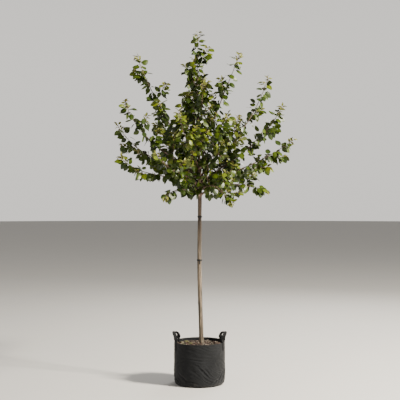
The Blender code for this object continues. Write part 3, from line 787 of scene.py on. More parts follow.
# %% Strap meshes
webbing = Finish("black_webbing", 0.88, Sheen_Weight=0.03, Specular_IOR_Level=0.15)
rib_noise = webbing.noise(900.0, detail=3.0)
worn = webbing.steps(webbing.noise(45.0, detail=5.0), 0.42, 0.70)
web_colour = webbing.mixed(rib_noise, (0.0035, 0.0036, 0.0041), (0.0090, 0.0092, 0.0100))
web_colour = webbing.mixed(worn, web_colour, (0.0125, 0.0125, 0.0132))
webbing.coloured(web_colour)
webbing.bumped(webbing.noise(1400.0, stretch=(1.0, 1.0, 0.5), detail=3.0), 0.0005, 0.5)

strap_stitches = Heap()
for strap_name, legs in HANDLE_LEGS_DEG.items():
    line = resampled(strap_stations(legs), RIB_PITCH / 2)
    points = []
    for i, (centre, width, distance) in enumerate(line):
        before, after = line[max(i - 1, 0)][0], line[min(i + 1, len(line) - 1)][0]
        along = (after - before).normalized()
        across = (width - along * width.dot(along)).normalized()
        face = along.cross(across).normalized()
        for u, v, side in SECTION:
            herring = 0.5 * RIB_PITCH * (1 - abs(u) / (STRAP_WIDTH / 2))
            rib = RIB_RISE * math.cos(2 * math.pi * (distance + herring) / RIB_PITCH) * side
            thick_from, thick_to = (STRAP_WIDTH / 2 - inset for inset in SELVEDGE_FROM_EDGE)
            selvedge = SELVEDGE_RISE * side * eased(abs(u), thick_from, thick_to)
            points.append(centre + across * u + face * (v + rib + selvedge))
    faces = capped_grid(len(line), len(SECTION))
    make_piece(strap_name + "_strap", points, faces, [webbing], [strap_name])
    # Each end is sewn down by a box of stitches with a cross in it.
    top, bottom = BOX_DROPS
    corners = [(-BOX_HALF_WIDTH, top), (BOX_HALF_WIDTH, top)]
    corners += [(BOX_HALF_WIDTH, bottom), (-BOX_HALF_WIDTH, bottom)]
    paths = list(zip(corners, corners[1:] + corners[:1]))
    paths += [(corners[0], corners[2]), (corners[1], corners[3])]
    for leg in legs:
        for (u0, w0), (u1, w1) in paths:
            path = []
            for u, w in zip(spread(u0, u1, BOX_STEPS + 1), spread(w0, w1, BOX_STEPS + 1)):
                radius = strap_radius(leg, BAG_HEIGHT + w) + STRAP_THICKNESS / 2 + STRAP_GAP
                path.append(polar(leg, radius, BAG_HEIGHT + w) + outward(leg + 90) * u)
            stitch_line(strap_stitches, path, [outward(leg)] * BOX_STEPS)
print(stitches_in(strap_stitches), "stitches in the straps")

# %% Thread
thread = Finish("black_thread", 0.55)
thread.coloured(thread.mixed(thread.noise(700.0), (0.030, 0.030, 0.032), (0.075, 0.075, 0.078)))
seams.add(strap_stitches.points, strap_stitches.faces)
make_piece("bag_stitches", seams.points, seams.faces, [thread], [])

# %% [markdown]
# ## Bark mulch on the root ball
#
# The bag is filled with compost and covered with bark chips, heaped a little round the stem and
# towards the left. A chip is a flat flake with a broken outline and rough edges. Some hundreds of
# them are dropped in layers: each one takes its place on the mound, tilts a little at random and
# lies a little higher than those before it. They come in three colours, so they make three pieces.
#
# The compost under them is a mound of rings with a short skirt, which stays inside the felt.

# %% The mound
COMPOST_EDGE_HEIGHT = 0.338
COMPOST_TOP_HEIGHT = 0.356
MOUND_ROWS = 40
MOUND_COLUMNS = 120
MOUND_FOOT_SHARE = 0.94
MOUND_DEPTH = 0.03
MOUND_GAP = 0.0002
CHIP_ROOM = 0.004
HEAP_HEIGHT = 0.012


def mound_height(x, y):
    """Height of the compost under the chips."""
    share = min(math.hypot(x, y) / BAG_RADIUS, 1.0)
    rise = (COMPOST_TOP_HEIGHT - COMPOST_EDGE_HEIGHT) * math.cos(share * math.pi / 2)
    heap = HEAP_HEIGHT * math.exp(-(((x + 0.13) / 0.09) ** 2) - ((y + 0.02) / 0.13) ** 2)
    rough = 0.0035 * noise_at(x * 22, y * 22, 1.0)
    rough += 0.0015 * noise_at(x * 75, y * 75, 4.0)
    return COMPOST_EDGE_HEIGHT - CHIP_ROOM + rise + heap + rough


mound_points = []
for row in range(1, MOUND_ROWS + 1):
    for k in range(MOUND_COLUMNS):
        azimuth = 360 * k / MOUND_COLUMNS
        inner = wall_radius(azimuth, COMPOST_EDGE_HEIGHT) - FELT_THICKNESS - MOUND_GAP
        p = outward(azimuth) * (inner * row / MOUND_ROWS)
        mound_points.append(Vector((p.x, p.y, mound_height(p.x, p.y))))
mound_foot = COMPOST_EDGE_HEIGHT - MOUND_DEPTH
for p in mound_points[-MOUND_COLUMNS:]:
    mound_points.append(Vector((p.x * MOUND_FOOT_SHARE, p.y * MOUND_FOOT_SHARE, mound_foot)))
mound_points += [Vector((0, 0, mound_height(0, 0))), Vector((0, 0, mound_foot))]
mound_faces = grid_faces(MOUND_ROWS + 1, MOUND_COLUMNS)[:, ::-1].tolist()
mound_faces += end_fans(MOUND_COLUMNS, MOUND_ROWS * MOUND_COLUMNS, len(mound_points), turned=True)

compost = Finish("dark_compost", 0.97)
crumbs = compost.noise(160.0, detail=6.0, roughness=0.7)
crumb_steps = compost.steps(crumbs, 0.35, 0.7)
compost.coloured(compost.mixed(crumb_steps, (0.010, 0.007, 0.005), (0.060, 0.038, 0.025)))
compost.bumped(crumbs, 0.004, 0.9)
make_piece("compost_mound", mound_points, mound_faces, [compost], ["root_ball"])

# %% One chip
CHIP_CORNERS = 7
CHIP_LEVELS = ((-0.5, 0.84), (0.08, 1.0), (0.5, 0.80))


def chip_shape(rng, centre, length, width, thickness, turn_deg, tilt, roll):
    """A flake with a broken outline: rings of points at three levels, the middle one the widest."""
    turn = outward(turn_deg)
    up = Vector((tilt, roll, 1.0)).normalized()
    turn = (turn - up * turn.dot(up)).normalized()
    side = up.cross(turn)
    outline = []
    for k in range(CHIP_CORNERS):
        a = 2 * math.pi * (k + rng.uniform(-0.3, 0.3)) / CHIP_CORNERS
        reach = rng.uniform(0.78, 1.08)
        outline.append((math.cos(a) * length / 2 * reach, math.sin(a) * width / 2 * reach))
    bend = rng.uniform(-0.12, 0.22)
    points = []
    for level, scale in CHIP_LEVELS:
        for u, v in outline:
            lift = level * thickness + bend * (u * u / length) * 2
            points.append(centre + turn * (u * scale) + side * (v * scale) + up * lift)
    return points, capped_grid(len(CHIP_LEVELS), CHIP_CORNERS)


print(CHIP_CORNERS * len(CHIP_LEVELS), "points on a chip")

# %% All the chips
CHIP_COUNT = 1500
CHIP_SEED = 5
CHIP_LENGTHS = (0.012, 0.040)
CHIP_WIDTH_SHARES = (0.35, 0.65)
CHIP_THICKNESSES = (0.0025, 0.0055)
CHIP_TILT = 0.24
CHIP_KINDS = ("red", "brown", "grey")
CHIP_SHARES = (0.36, 0.76, 1.0)
TRUNK_CLEAR = 0.030
CHIP_EDGE_ROOM = 0.004
CHIP_CALM_EDGE = 0.02
CHIP_LOWEST = 0.002
CHIP_PILE = 0.009

chip_rng = random.Random(CHIP_SEED)
chip_heaps = {kind: Heap() for kind in CHIP_KINDS}
for number in range(CHIP_COUNT):
    length = chip_rng.uniform(*CHIP_LENGTHS) * chip_rng.uniform(0.7, 1.0)
    room = BAG_RADIUS - FELT_THICKNESS - CHIP_EDGE_ROOM - length * 0.42
    distance = math.sqrt(chip_rng.uniform(TRUNK_CLEAR**2, room**2))
    azimuth = chip_rng.uniform(0, 360)
    p = outward(azimuth) * distance
    layer = CHIP_LOWEST + CHIP_PILE * (number / CHIP_COUNT) * chip_rng.uniform(0.3, 1.0)
    centre = Vector((p.x, p.y, mound_height(p.x, p.y) + layer))
    width = length * chip_rng.uniform(*CHIP_WIDTH_SHARES)
    thickness = chip_rng.uniform(*CHIP_THICKNESSES)
    tilts = [chip_rng.gauss(0, CHIP_TILT) for _ in range(2)]
    turn_deg = chip_rng.uniform(0, 360)
    if distance > room - CHIP_CALM_EDGE:
        tilts = [t * 0.5 for t in tilts]
    pick = chip_rng.random()
    kind = next(k for k, share in zip(CHIP_KINDS, CHIP_SHARES) if pick <= share)
    flake = chip_shape(chip_rng, centre, length, width, thickness, turn_deg, *tilts)
    chip_heaps[kind].add(*flake)

CHIP_COLOURS = {
    "red": ((0.020, 0.010, 0.006), (0.080, 0.036, 0.022)),
    "brown": ((0.011, 0.007, 0.005), (0.042, 0.026, 0.017)),
    "grey": ((0.085, 0.068, 0.052), (0.270, 0.218, 0.170)),
}
for kind, heap in chip_heaps.items():
    chip_finish = Finish(f"bark_chip_{kind}", 0.88)
    grain = chip_finish.noise(60.0, stretch=(1.0, 2.5, 4.0), detail=6.0, roughness=0.65)
    chip_colour = chip_finish.mixed(chip_finish.steps(grain, 0.3, 0.7), *CHIP_COLOURS[kind])
    flecks = chip_finish.steps(chip_finish.noise(400.0, detail=3.0), 0.60, 0.72)
    chip_finish.coloured(chip_finish.mixed(flecks, chip_colour, (0.030, 0.018, 0.012)))
    chip_finish.bumped(grain, 0.0015, 0.8)
    name = f"bark_chips_{kind}"
    make_piece(name, heap.points, heap.faces, [chip_finish], ["root_ball"])

# %% [markdown]
# ## The stem
#
# The stem of a nursery standard is nearly straight, with a slight lean and sway, a flare at its
# foot and a collar under each bough. Young pear bark is thin and smooth, broken by shallow upright
# cracks, by small corky pores and by the round scars of side shoots that were pruned away.
#
# Its centre line and thickness are those of the solid. The bark is a fine tube along it, whose
# radius takes up the cracks, the scars, the flare's ribs and the collars as real relief. Pores and
# colour are too small for the mesh, so the finish holds them.

# %% Line and thickness of the stem
SEAT = 0.0003
TRUNK_FOOT = COMPOST_TOP_HEIGHT + SEAT
TRUNK_TIP = 2.72
TREE_TOP = 3.095
STEM_RADII = (
    # height, radius
    (0.50, 0.0200),
    (1.62, 0.0170),
    (1.95, 0.0120),
    (TRUNK_TIP, 0.0046),
    (TREE_TOP, 0.0016),
)
FLARE_RADIUS = 0.0045
FLARE_HEIGHT = 0.032
FOOT_OFFSET = 0.012
LEAN_PER_METRE = 0.011
SWAY = 0.005
SWAY_DEPTH = 0.003
SWAY_PERIOD = 1.5
SWAY_START = 1.375
TIE_HEIGHTS = {"tie_upper": 1.472, "tie_lower": 1.088}


def stem_at(z):
    """Centre of the stem at height z."""
    phase = 2 * math.pi * (z - SWAY_START) / SWAY_PERIOD
    x = FOOT_OFFSET - LEAN_PER_METRE * (z - TRUNK_FOOT) + SWAY * math.sin(phase)
    return Vector((x, SWAY_DEPTH * math.cos(phase), z))


def stem_radius(z):
    """Radius of the stem at height z, wider in the flare at its foot."""
    flare = FLARE_RADIUS * math.exp(-(z - TRUNK_FOOT) / FLARE_HEIGHT)
    return between(STEM_RADII, z) + flare


for z in (1.0, 2.0):
    print(f"stem {2000 * stem_radius(z):.0f} mm thick at {z:.0f} m")

# %% Where the boughs leave
BOUGHS = (
    # name, fork height, azimuth, level reach, tip height, climb in degrees at the fork and the tip
    ("left_high", 1.886, 169, 0.570, 2.90, 55, 68),
    ("left_upper", 1.795, 198, 0.675, 2.47, 42, 72),
    ("left_middle", 1.735, 162, 0.785, 2.30, 40, 58),
    ("left_low", 1.689, 192, 0.700, 1.99, 44, 48),
    ("left_under", 1.650, 218, 0.380, 1.640, 34, -42),
    ("right_high", 1.873, -28, 0.390, 2.87, 77, 66),
    ("right_upper", 1.825, 20, 0.665, 2.73, 42, 70),
    ("right_middle", 1.765, -10, 0.730, 2.43, 37, 62),
    ("right_low", 1.715, 6, 0.840, 2.155, 30, 37),
    ("right_under", 1.660, -24, 0.630, 1.69, 34, -20),
    ("front_high", 1.936, 274, 0.370, 2.60, 70, 72),
    ("front_left", 1.860, 253, 0.580, 2.35, 51, 65),
    ("front_right", 1.800, 304, 0.580, 2.315, 47, 67),
    ("front_left_low", 1.717, 242, 0.740, 1.99, 35, 36),
    ("front_under", 1.693, 295, 0.620, 1.585, 28, -34),
    ("back_high", 1.911, 101, 0.400, 2.70, 69, 72),
    ("back_left", 1.843, 125, 0.700, 2.50, 43, 66),
    ("back_right", 1.800, 66, 0.680, 2.44, 43, 66),
    ("back_left_low", 1.766, 128, 0.760, 2.02, 33, 38),
    ("back_right_low", 1.745, 41, 0.780, 1.97, 33, 36),
    ("back_under", 1.675, 90, 0.640, 1.74, 28, -16),
)
BOUGH_BASE_RADIUS = 0.0088
BOUGH_TIP_RADIUS = 0.0018
BOUGH_TAPER = 0.8
BARE_SHARE = 0.20
CURVE_PULL = 0.38
print(len(BOUGHS), "boughs")

# %% Relief of the bark
SCAR_RISE = 0.0022
COLLAR_RISE = 0.0030
SCARS = (
    # height, azimuth, half width
    (0.58, -70, 0.0070),
    (0.71, 150, 0.0085),
    (0.83, -120, 0.0065),
    (0.94, 20, 0.0080),
    (1.02, -85, 0.0075),
    (1.17, 100, 0.0080),
    (1.26, -40, 0.0085),
    (1.34, -150, 0.0070),
    (1.41, 40, 0.0080),
    (1.55, -100, 0.0085),
)


def scar_relief(azimuth, z, radius):
    """A raised round collar with a sunken middle, where a side shoot was cut off."""
    total = 0.0
    for height, place, half in SCARS:
        if abs(z - height) < 3 * half:
            x = math.radians(turn_between(azimuth, place)) * radius
            d = math.hypot(x, (z - height) * 0.8) / half
            total += SCAR_RISE * math.exp(-(((d - 0.75) / 0.45) ** 2))
            total -= 0.0006 * math.exp(-d * d * 6)
    return total


def collar_relief(azimuth, z, radius):
    """The swelling under each bough, longer below it than above."""
    total = 0.0
    for _, fork, place, *_ in BOUGHS:
        fall = 0.030 if z < fork else 0.014
        if abs(z - fork) < 3 * fall:
            sideways = math.radians(turn_between(azimuth, place)) * radius / 0.010
            total += COLLAR_RISE * math.exp(-(((z - fork) / fall) ** 2) - sideways * sideways)
    return total


def bark_relief(azimuth, z, radius):
    """Upright cracks and grain on the stem, shallower towards the thin top."""
    out = outward(azimuth) * 0.02
    cracks = noise_at(out.x * 130, out.y * 130, z * 11)
    grain = noise_at(out.x * 320, out.y * 320, z * 42 + 9)
    wander = noise_at(out.x * 28, out.y * 28, z * 6 + 3)
    fullness = min(radius / 0.018, 1.0)
    relief = -0.0009 * max(cracks - 0.05, 0.0) * 2.2 + 0.0004 * grain + 0.0011 * wander
    ribs = 0.30 * FLARE_RADIUS * math.cos(math.radians(5 * azimuth + 40))
    near_tie = min(abs(z - tie) for tie in TIE_HEIGHTS.values())
    calm = eased(near_tie, 0.006, 0.016)
    return relief * fullness * calm + ribs * math.exp(-(z - TRUNK_FOOT) / 0.03)


print(len(SCARS), "pruning scars")

# %% Stem mesh
STEM_COLUMNS = 30
STEM_ROW_GAP = 0.0052
STEM_BURIED = 0.012

stem_rows = math.ceil((TRUNK_TIP - TRUNK_FOOT) / STEM_ROW_GAP)
stem_heights = spread(TRUNK_FOOT, TRUNK_TIP, stem_rows + 1)
stem_heights[0] = TRUNK_FOOT - STEM_BURIED
stem_points = []
for z in stem_heights:
    radius = stem_radius(max(z, TRUNK_FOOT))
    for k in range(STEM_COLUMNS):
        azimuth = 360 * k / STEM_COLUMNS
        relief = bark_relief(azimuth, z, radius) + scar_relief(azimuth, z, radius)
        relief += collar_relief(azimuth, z, radius)
        stem_points.append(stem_at(z) + outward(azimuth) * (radius + relief))
stem_faces = capped_grid(len(stem_heights), STEM_COLUMNS)
print(f"{len(stem_heights)} rings up the stem")

# %% Bark finish
bark = Finish("stem_bark", 0.74, Specular_IOR_Level=0.35)
streaks = bark.noise(60.0, (1.0, 1.0, 0.10), detail=6.0, roughness=0.62)
patches = bark.noise(16.0, (1.0, 1.0, 0.45), detail=4.0)
streak_steps = bark.steps(streaks, 0.32, 0.68)
bark_colour = bark.mixed(streak_steps, (0.050, 0.039, 0.028), (0.240, 0.186, 0.130))
bark_colour = bark.mixed(bark.steps(patches, 0.46, 0.66), bark_colour, (0.095, 0.078, 0.055))
long_streaks = bark.steps(bark.noise(85.0, (1.0, 1.0, 0.03), detail=3.0), 0.50, 0.57)
bark_colour = bark.mixed(long_streaks, bark_colour, (0.046, 0.036, 0.026))
pores = bark.cells(150.0, (0.55, 0.55, 1.5))
bark_colour = bark.mixed(bark.steps(pores, 0.20, 0.10), bark_colour, (0.070, 0.050, 0.036))
# From 1 m to 2 m up, the stem turns darker and redder: partly the younger bark near the top, partly
# painted shade over the middle and upper stem.
young = bark.mixed(bark.steps(streaks, 0.35, 0.65), (0.050, 0.030, 0.021), (0.125, 0.080, 0.052))
young_bark_and_painted_shade = bark.steps(bark.parts_of(bark.place)["Z"], 1.00, 2.00)
bark_colour = bark.mixed(young_bark_and_painted_shade, bark_colour, young)
bark.coloured(bark_colour)
bark.roughened(patches, 0.62, 0.86)
bark.bumped(streaks, 0.0010, 0.55)
bark.bumped(bark.steps(pores, 0.22, 0.08), 0.0006, 0.6)
make_piece("stem_bark", stem_points, stem_faces, [bark], ["trunk"])

# %% [markdown]
# ## Boughs
#
# A bough leaves the stem at its own angle, arches out and turns up towards the light. A cubic
# curve holds that in four points: the fork, the tip, and one handle at each that sets its climb.
# The tube along it tapers quickly at first, swells where it joins the stem, and has a slight knee
# at every place where a leaf or a shoot grew, as young pear wood does.


# %% Curves and tubes
UP = Vector((0.0, 0.0, 1.0))


def heading(azimuth_deg, rise_deg):
    """Unit vector at this azimuth that climbs at rise_deg."""
    rise = math.radians(rise_deg)
    return outward(azimuth_deg) * math.cos(rise) + Vector((0.0, 0.0, math.sin(rise)))


def limb_point(bough, t):
    """Point on a bough's centre line, from the stem's axis at t = 0 to its tip at t = 1."""
    _, fork, azimuth, reach, tip_height, rise_at_fork, rise_at_tip = bough
    root = stem_at(fork)
    tip = outward(azimuth) * reach + Vector((0.0, 0.0, tip_height))
    pull = CURVE_PULL * (tip - root).length
    leave = root + heading(azimuth, rise_at_fork) * pull
    arrive = tip - heading(azimuth, rise_at_tip) * pull
    u = 1 - t
    return root * u**3 + leave * (3 * u * u * t) + arrive * (3 * u * t * t) + tip * t**3


def limb_radius(t):
    """Radius of a bough at t, which falls fastest near the fork."""
    return BOUGH_BASE_RADIUS + (BOUGH_TIP_RADIUS - BOUGH_BASE_RADIUS) * t**BOUGH_TAPER


def side_of(direction):
    """A unit vector square to direction."""
    guide = Vector((0.0, 0.0, 1.0)) if abs(direction.z) < 0.9 else Vector((1.0, 0.0, 0.0))
    return direction.cross(guide).normalized()


def tube(line, radii, sides):
    """(points, faces) of a round limb along a line, closed at both ends."""
    points = []
    last = len(line) - 1
    side = side_of((line[1] - line[0]).normalized())
    for i, (centre, radius) in enumerate(zip(line, radii)):
        along = (line[min(i + 1, last)] - line[max(i - 1, 0)]).normalized()
        side = (side - along * side.dot(along)).normalized()
        other = along.cross(side)
        for k in range(sides):
            a = 2 * math.pi * k / sides
            points.append(centre + (side * math.cos(a) + other * math.sin(a)) * radius)
    return points, capped_grid(len(line), sides)


print(f"{len(tube([Vector((0, 0, 0)), UP], [1, 1], 5)[1])} faces on the shortest tube")

# %% Growing points
# They follow each other at even steps along a shoot, each turned on by TURN_DEG.
STEP = 0.067
FIRST_STEP = 0.5
LAST_STEP = 0.3
TURN_DEG = 137.5


def growing_points(line, step):
    """(point, direction, share of the length) every step along a line, up to near its end."""
    lengths = [(b - a).length for a, b in zip(line, line[1:])]
    total = sum(lengths)
    found = []
    distance = step * FIRST_STEP
    k, walked = 0, 0.0
    while distance < total - step * LAST_STEP:
        while walked + lengths[k] < distance:
            walked += lengths[k]
            k += 1
        a, b = line[k], line[k + 1]
        point = a.lerp(b, (distance - walked) / lengths[k])
        found.append((point, (b - a).normalized(), distance / total))
        distance += step
    return found


print(f"a growing point every {1000 * STEP:.0f} mm of a stem")

# %% Bough mesh
BOUGH_SIDES = 9
BOUGH_ROW_GAP = 0.007
KNEE_STEP = 0.034
KNEE_RISE = 0.16
FORK_SWELL = 0.55
FORK_SWELL_FROM = 0.012
FORK_SWELL_LENGTH = 0.016
LUMP_RISE = 0.10
LIMB_WANDER = 0.0013
CURVE_TO_CHORD = 1.06

limbs = Heap()
for number, bough in enumerate(BOUGHS):
    length = (limb_point(bough, 1) - limb_point(bough, 0)).length * CURVE_TO_CHORD
    rows = math.ceil(length / BOUGH_ROW_GAP)
    line, radii = [], []
    for t in spread(0, 1, rows + 1):
        distance = t * length
        knee = math.exp(-(((distance % KNEE_STEP) / KNEE_STEP - 0.5) * 7) ** 2)
        past_fork = max(distance - FORK_SWELL_FROM, 0.0)
        swell = 1 + FORK_SWELL * math.exp(-past_fork / FORK_SWELL_LENGTH) + KNEE_RISE * knee
        lump = 1 + LUMP_RISE * noise_at(number * 7.3, distance * 55, 2.0)
        along = limb_point(bough, min(t + 0.01, 1)) - limb_point(bough, t - 0.01)
        shift = LIMB_WANDER * noise_at(number * 3.1, distance * 16, 8.0) * eased(t, 0.0, 0.1)
        line.append(limb_point(bough, t) + side_of(along.normalized()) * shift)
        radii.append(limb_radius(t) * swell * lump)
    limbs.add(*tube(line, radii, BOUGH_SIDES))

wood = Finish("young_wood", 0.56)
wood_grain = wood.noise(90.0, detail=5.0)
grain_steps = wood.steps(wood_grain, 0.35, 0.68)
wood_colour = wood.mixed(grain_steps, (0.036, 0.018, 0.012), (0.105, 0.058, 0.036))
specks = wood.cells(230.0, (1.0, 1.0, 0.7))
wood_colour = wood.mixed(wood.steps(specks, 0.20, 0.11), wood_colour, (0.200, 0.150, 0.105))
wood.coloured(wood_colour)
wood.bumped(wood_grain, 0.0006, 0.6)
bough_names = [bough[0] for bough in BOUGHS]
make_piece("boughs_bark", limbs.points, limbs.faces, [wood], bough_names)

# %% [markdown]
# ## Ties
#
# Two black rubber ties still hold the stem. Each is a moulded band with rounded edges and fine
# ribs. Its end goes through a small buckle at the front and hangs down as a short ribbed tail. The
# band and the tail are swept: a rounded section is carried along a line, once round the stem and
# once straight down.

# %% Tie sizes
TIE_BAND_HEIGHT = 0.013
TIE_BAND_THICKNESS = 0.003
TIE_SIDES = 12
TIE_RIBS = 24
TIE_RIB_RISE = 0.00035
RING_STATIONS = 96
RING_START_DEG = 3.75
BUCKLE_SIZE = (0.016, 0.007, 0.018)
TAIL_SIZE = (0.009, 0.003, 0.032)
TAIL_OFFSET = (0.002, -0.0015, -0.021)
TIE_ROUNDING = 0.0011
BUCKLE_BAR = 0.0021
BUCKLE_PLATE_THICKNESS = 0.0032
BAR_FORWARD = 0.0024
BAR_HEIGHTS = (-0.0072, 0.0, 0.0072)
POST_PLACES = (-0.0068, 0.0068)
TAIL_STATIONS = 33
TAIL_RIBS = 8
TAIL_CURL = 0.0035
print(f"bands {1000 * TIE_BAND_HEIGHT:.0f} mm high")

# %% Swept bars
X_AXIS = Vector((1.0, 0.0, 0.0))
Y_AXIS = Vector((0.0, 1.0, 0.0))


def rounded_section(wide, thick, rounding, corner_points=4):
    """Outline of a bar: (across, out) pairs round a rectangle with rounded corners."""
    outline = []
    for turn, sx, sy in ((0, 1, 1), (90, -1, 1), (180, -1, -1), (270, 1, -1)):
        for k in range(corner_points):
            a = math.radians(turn + 90 * k / (corner_points - 1))
            cx, cy = sx * (wide / 2 - rounding), sy * (thick / 2 - rounding)
            outline.append((cx + rounding * math.cos(a), cy + rounding * math.sin(a)))
    return outline


def swept_bar(stations, section_at, ring=False):
    """A bar along (centre, across, out) stations. A ring is joined end to end, another bar is
    capped."""
    points, rows = [], len(stations)
    for i, (centre, across, out) in enumerate(stations):
        points += [centre + across * a + out * b for a, b in section_at(i / (rows - 1))]
    count = len(points) // rows
    if ring:
        return points, (grid_faces(rows + 1, count) % len(points)).tolist()
    return points, capped_grid(rows, count)


def band_section(share):
    """Section of the band, with fine ribs round it."""
    rib = TIE_RIB_RISE * abs(math.cos(math.pi * TIE_RIBS * share))
    return rounded_section(TIE_BAND_HEIGHT, TIE_BAND_THICKNESS + rib, TIE_ROUNDING)


def tail_section(share):
    """Section of the tail, which is ribbed too and rounded off at its end."""
    taper = math.sqrt(max(1 - max((share - 0.88) / 0.12, 0.0) ** 2, 0.05))
    rib = 0.8 + 0.2 * abs(math.cos(math.pi * TAIL_RIBS * share))
    return rounded_section(TAIL_SIZE[0] * taper, TAIL_SIZE[1] * rib, 0.0009 * taper)


print(len(band_section(0.0)), "points round a band's section")


# %% Bands, buckles and tails
rubber = Finish("tie_rubber", 0.62, Specular_IOR_Level=0.25)
rubber_tone = rubber.noise(60.0)
rubber.coloured(rubber.mixed(rubber_tone, (0.0040, 0.0040, 0.0045), (0.0110, 0.0110, 0.0115)))
rubber.roughened(rubber.noise(120.0), 0.54, 0.74)
rubber.bumped(rubber.noise(900.0), 0.0003, 0.6)
plate = rounded_section(BUCKLE_SIZE[0] - 0.001, BUCKLE_PLATE_THICKNESS, 0.001)
bar = rounded_section(BUCKLE_BAR, BUCKLE_BAR, BUCKLE_BAR * 0.42)
half_buckle_width, half_buckle_height = BUCKLE_SIZE[0] / 2, BUCKLE_SIZE[2] / 2
for name, z in TIE_HEIGHTS.items():
    tie = Heap()
    inner = (stem_radius(z - TIE_BAND_HEIGHT / 2) + SEAT) / math.cos(math.pi / TIE_SIDES)
    middle = inner + TIE_BAND_THICKNESS / 2
    turns = [outward(RING_START_DEG * i) for i in range(RING_STATIONS)]
    ring = [(stem_at(z) + out * middle, UP, out) for out in turns]
    tie.add(*swept_bar(ring, band_section, ring=True))
    front = stem_at(z) - Y_AXIS * (inner + TIE_BAND_THICKNESS)
    line = [front + UP * (half_buckle_height * k) for k in (-0.96, -0.9, -0.3, 0.3, 0.9, 0.96)]
    tie.add(*swept_bar([(p, X_AXIS, -Y_AXIS) for p in line], lambda _: plate))
    face = front - Y_AXIS * BAR_FORWARD
    for height in BAR_HEIGHTS:
        level = face + UP * height
        line = [level + X_AXIS * (half_buckle_width * k) for k in (-1, -0.3, 0.3, 1)]
        tie.add(*swept_bar([(p, UP, -Y_AXIS) for p in line], lambda _: bar))
    for aside in POST_PLACES:
        line = [face + UP * (half_buckle_height * k) + X_AXIS * aside for k in (-0.9, 0.0, 0.9)]
        tie.add(*swept_bar([(p, X_AXIS, -Y_AXIS) for p in line], lambda _: bar))
    hang = front + Vector(TAIL_OFFSET)
    tail = []
    for share in spread(0, 1, TAIL_STATIONS):
        centre = hang + UP * (TAIL_SIZE[2] * (0.5 - share)) - Y_AXIS * (TAIL_CURL * share**2)
        tail.append((centre, X_AXIS, -Y_AXIS))
    tie.add(*swept_bar(tail, tail_section))
    make_piece(name + "_band", tie.points, tie.faces, [rubber], [name])

# %% [markdown]
# ## Shoots
#
# The crown above the boughs grows by one rule. Every bough goes on as a leafy stem, and the leader
# carries side shoots and a leafy top of its own. On each stem the growing points follow one
# another at an even distance, each turned on by the golden angle, so that no leaf stands right
# over the last. Every third point carries a twig. Between them stand short spurs, thick near the
# middle of the tree and missing towards the tips. The draws that turn and lengthen the twigs are
# seeded, one seed for each stem, so the tree is the same tree every time.


# %% A shoot
class Shoot:
    """A woody line that carries leaves: the stem that it belongs to, its points, the radius at
    each of them, the random draws that it takes, and its kind."""

    def __init__(self, name, line, radii, rng, kind):
        self.name, self.line, self.radii, self.rng, self.kind = name, line, radii, rng, kind

    def radius_at(self, share):
        """Radius at this share of the length."""
        place = share * (len(self.radii) - 1)
        k = min(int(place), len(self.radii) - 2)
        return self.radii[k] + (self.radii[k + 1] - self.radii[k]) * (place - k)


print("a shoot knows its line, its thickness, its draws and its kind")

# %% Stems
STEM_POINTS = 26
FIRST_SEED = 12
LEADER_SHOOTS = (
    # name, height, azimuth, length
    ("leader_leaves_1", 2.04, 222, 0.30),
    ("leader_leaves_2", 2.17, 15, 0.27),
    ("leader_leaves_3", 2.30, 142, 0.26),
    ("leader_leaves_4", 2.41, 300, 0.22),
    ("leader_leaves_5", 2.52, 62, 0.21),
    ("leader_leaves_6", 2.61, 188, 0.20),
)
SHOOT_POINTS = 11
SHOOT_RISE_DEG = 58
SHOOT_RADIUS = 0.0034
SHOOT_TAPER = ((0.0, 1.0), (0.5, 0.7), (1.0, 0.4))
SHOOT_BEND = 0.10
TOP_POINTS = 15
TOP_IN_TRUNK = 0.004


def along_bough(bough, first, last, count, rng, kind):
    """The shoot that a bough is from t = first to t = last."""
    stations = spread(first, last, count)
    line = [limb_point(bough, t) for t in stations]
    return Shoot(bough[0] + "_leaves", line, [limb_radius(t) for t in stations], rng, kind)


def leader_shoot(name, z, azimuth, length, seed):
    """A side shoot of the leader, which bends up a little."""
    direction = heading(azimuth, SHOOT_RISE_DEG)
    root = stem_at(z) + outward(azimuth) * (0.5 * stem_radius(z))
    line, radii = [], []
    for share in spread(0, 1, SHOOT_POINTS):
        bend = Vector((0, 0, SHOOT_BEND * length * share**2))
        line.append(root + direction * (length * share) + bend)
        radii.append(SHOOT_RADIUS * between(SHOOT_TAPER, share))
    return Shoot(name, line, radii, random.Random(seed), "stem")


def leader_top(seed):
    """The leader's own leafy tip."""
    length = TREE_TOP - TRUNK_TIP + TOP_IN_TRUNK
    heights = [TRUNK_TIP - TOP_IN_TRUNK + length * i / (TOP_POINTS - 1) for i in range(TOP_POINTS)]
    line = [stem_at(z) for z in heights]
    radii = [stem_radius(z) for z in heights]
    return Shoot("leader_top_leaves", line, radii, random.Random(seed), "stem")


seeds = iter(range(FIRST_SEED, FIRST_SEED + len(BOUGHS) + len(LEADER_SHOOTS) + 1))
stems = []
for bough in BOUGHS:
    rng = random.Random(next(seeds))
    stems.append(along_bough(bough, BARE_SHARE, 1, STEM_POINTS, rng, "stem"))
stems += [leader_shoot(*shoot, next(seeds)) for shoot in LEADER_SHOOTS]
stems.append(leader_top(next(seeds)))
MASS_NODES = [stem.name for stem in stems]
reaches = [(stem.line[-1] - stem.line[0]).length for stem in stems]
print(f"{len(stems)} stems, from {min(reaches):.2f} to {max(reaches):.2f} m long")

# %% Limbs to keep clear of
LIMB_CLEARANCE = 0.004
THICKEST_LIMB = 0.024
BOUGH_SAMPLES = 120
STEM_SAMPLES = 300

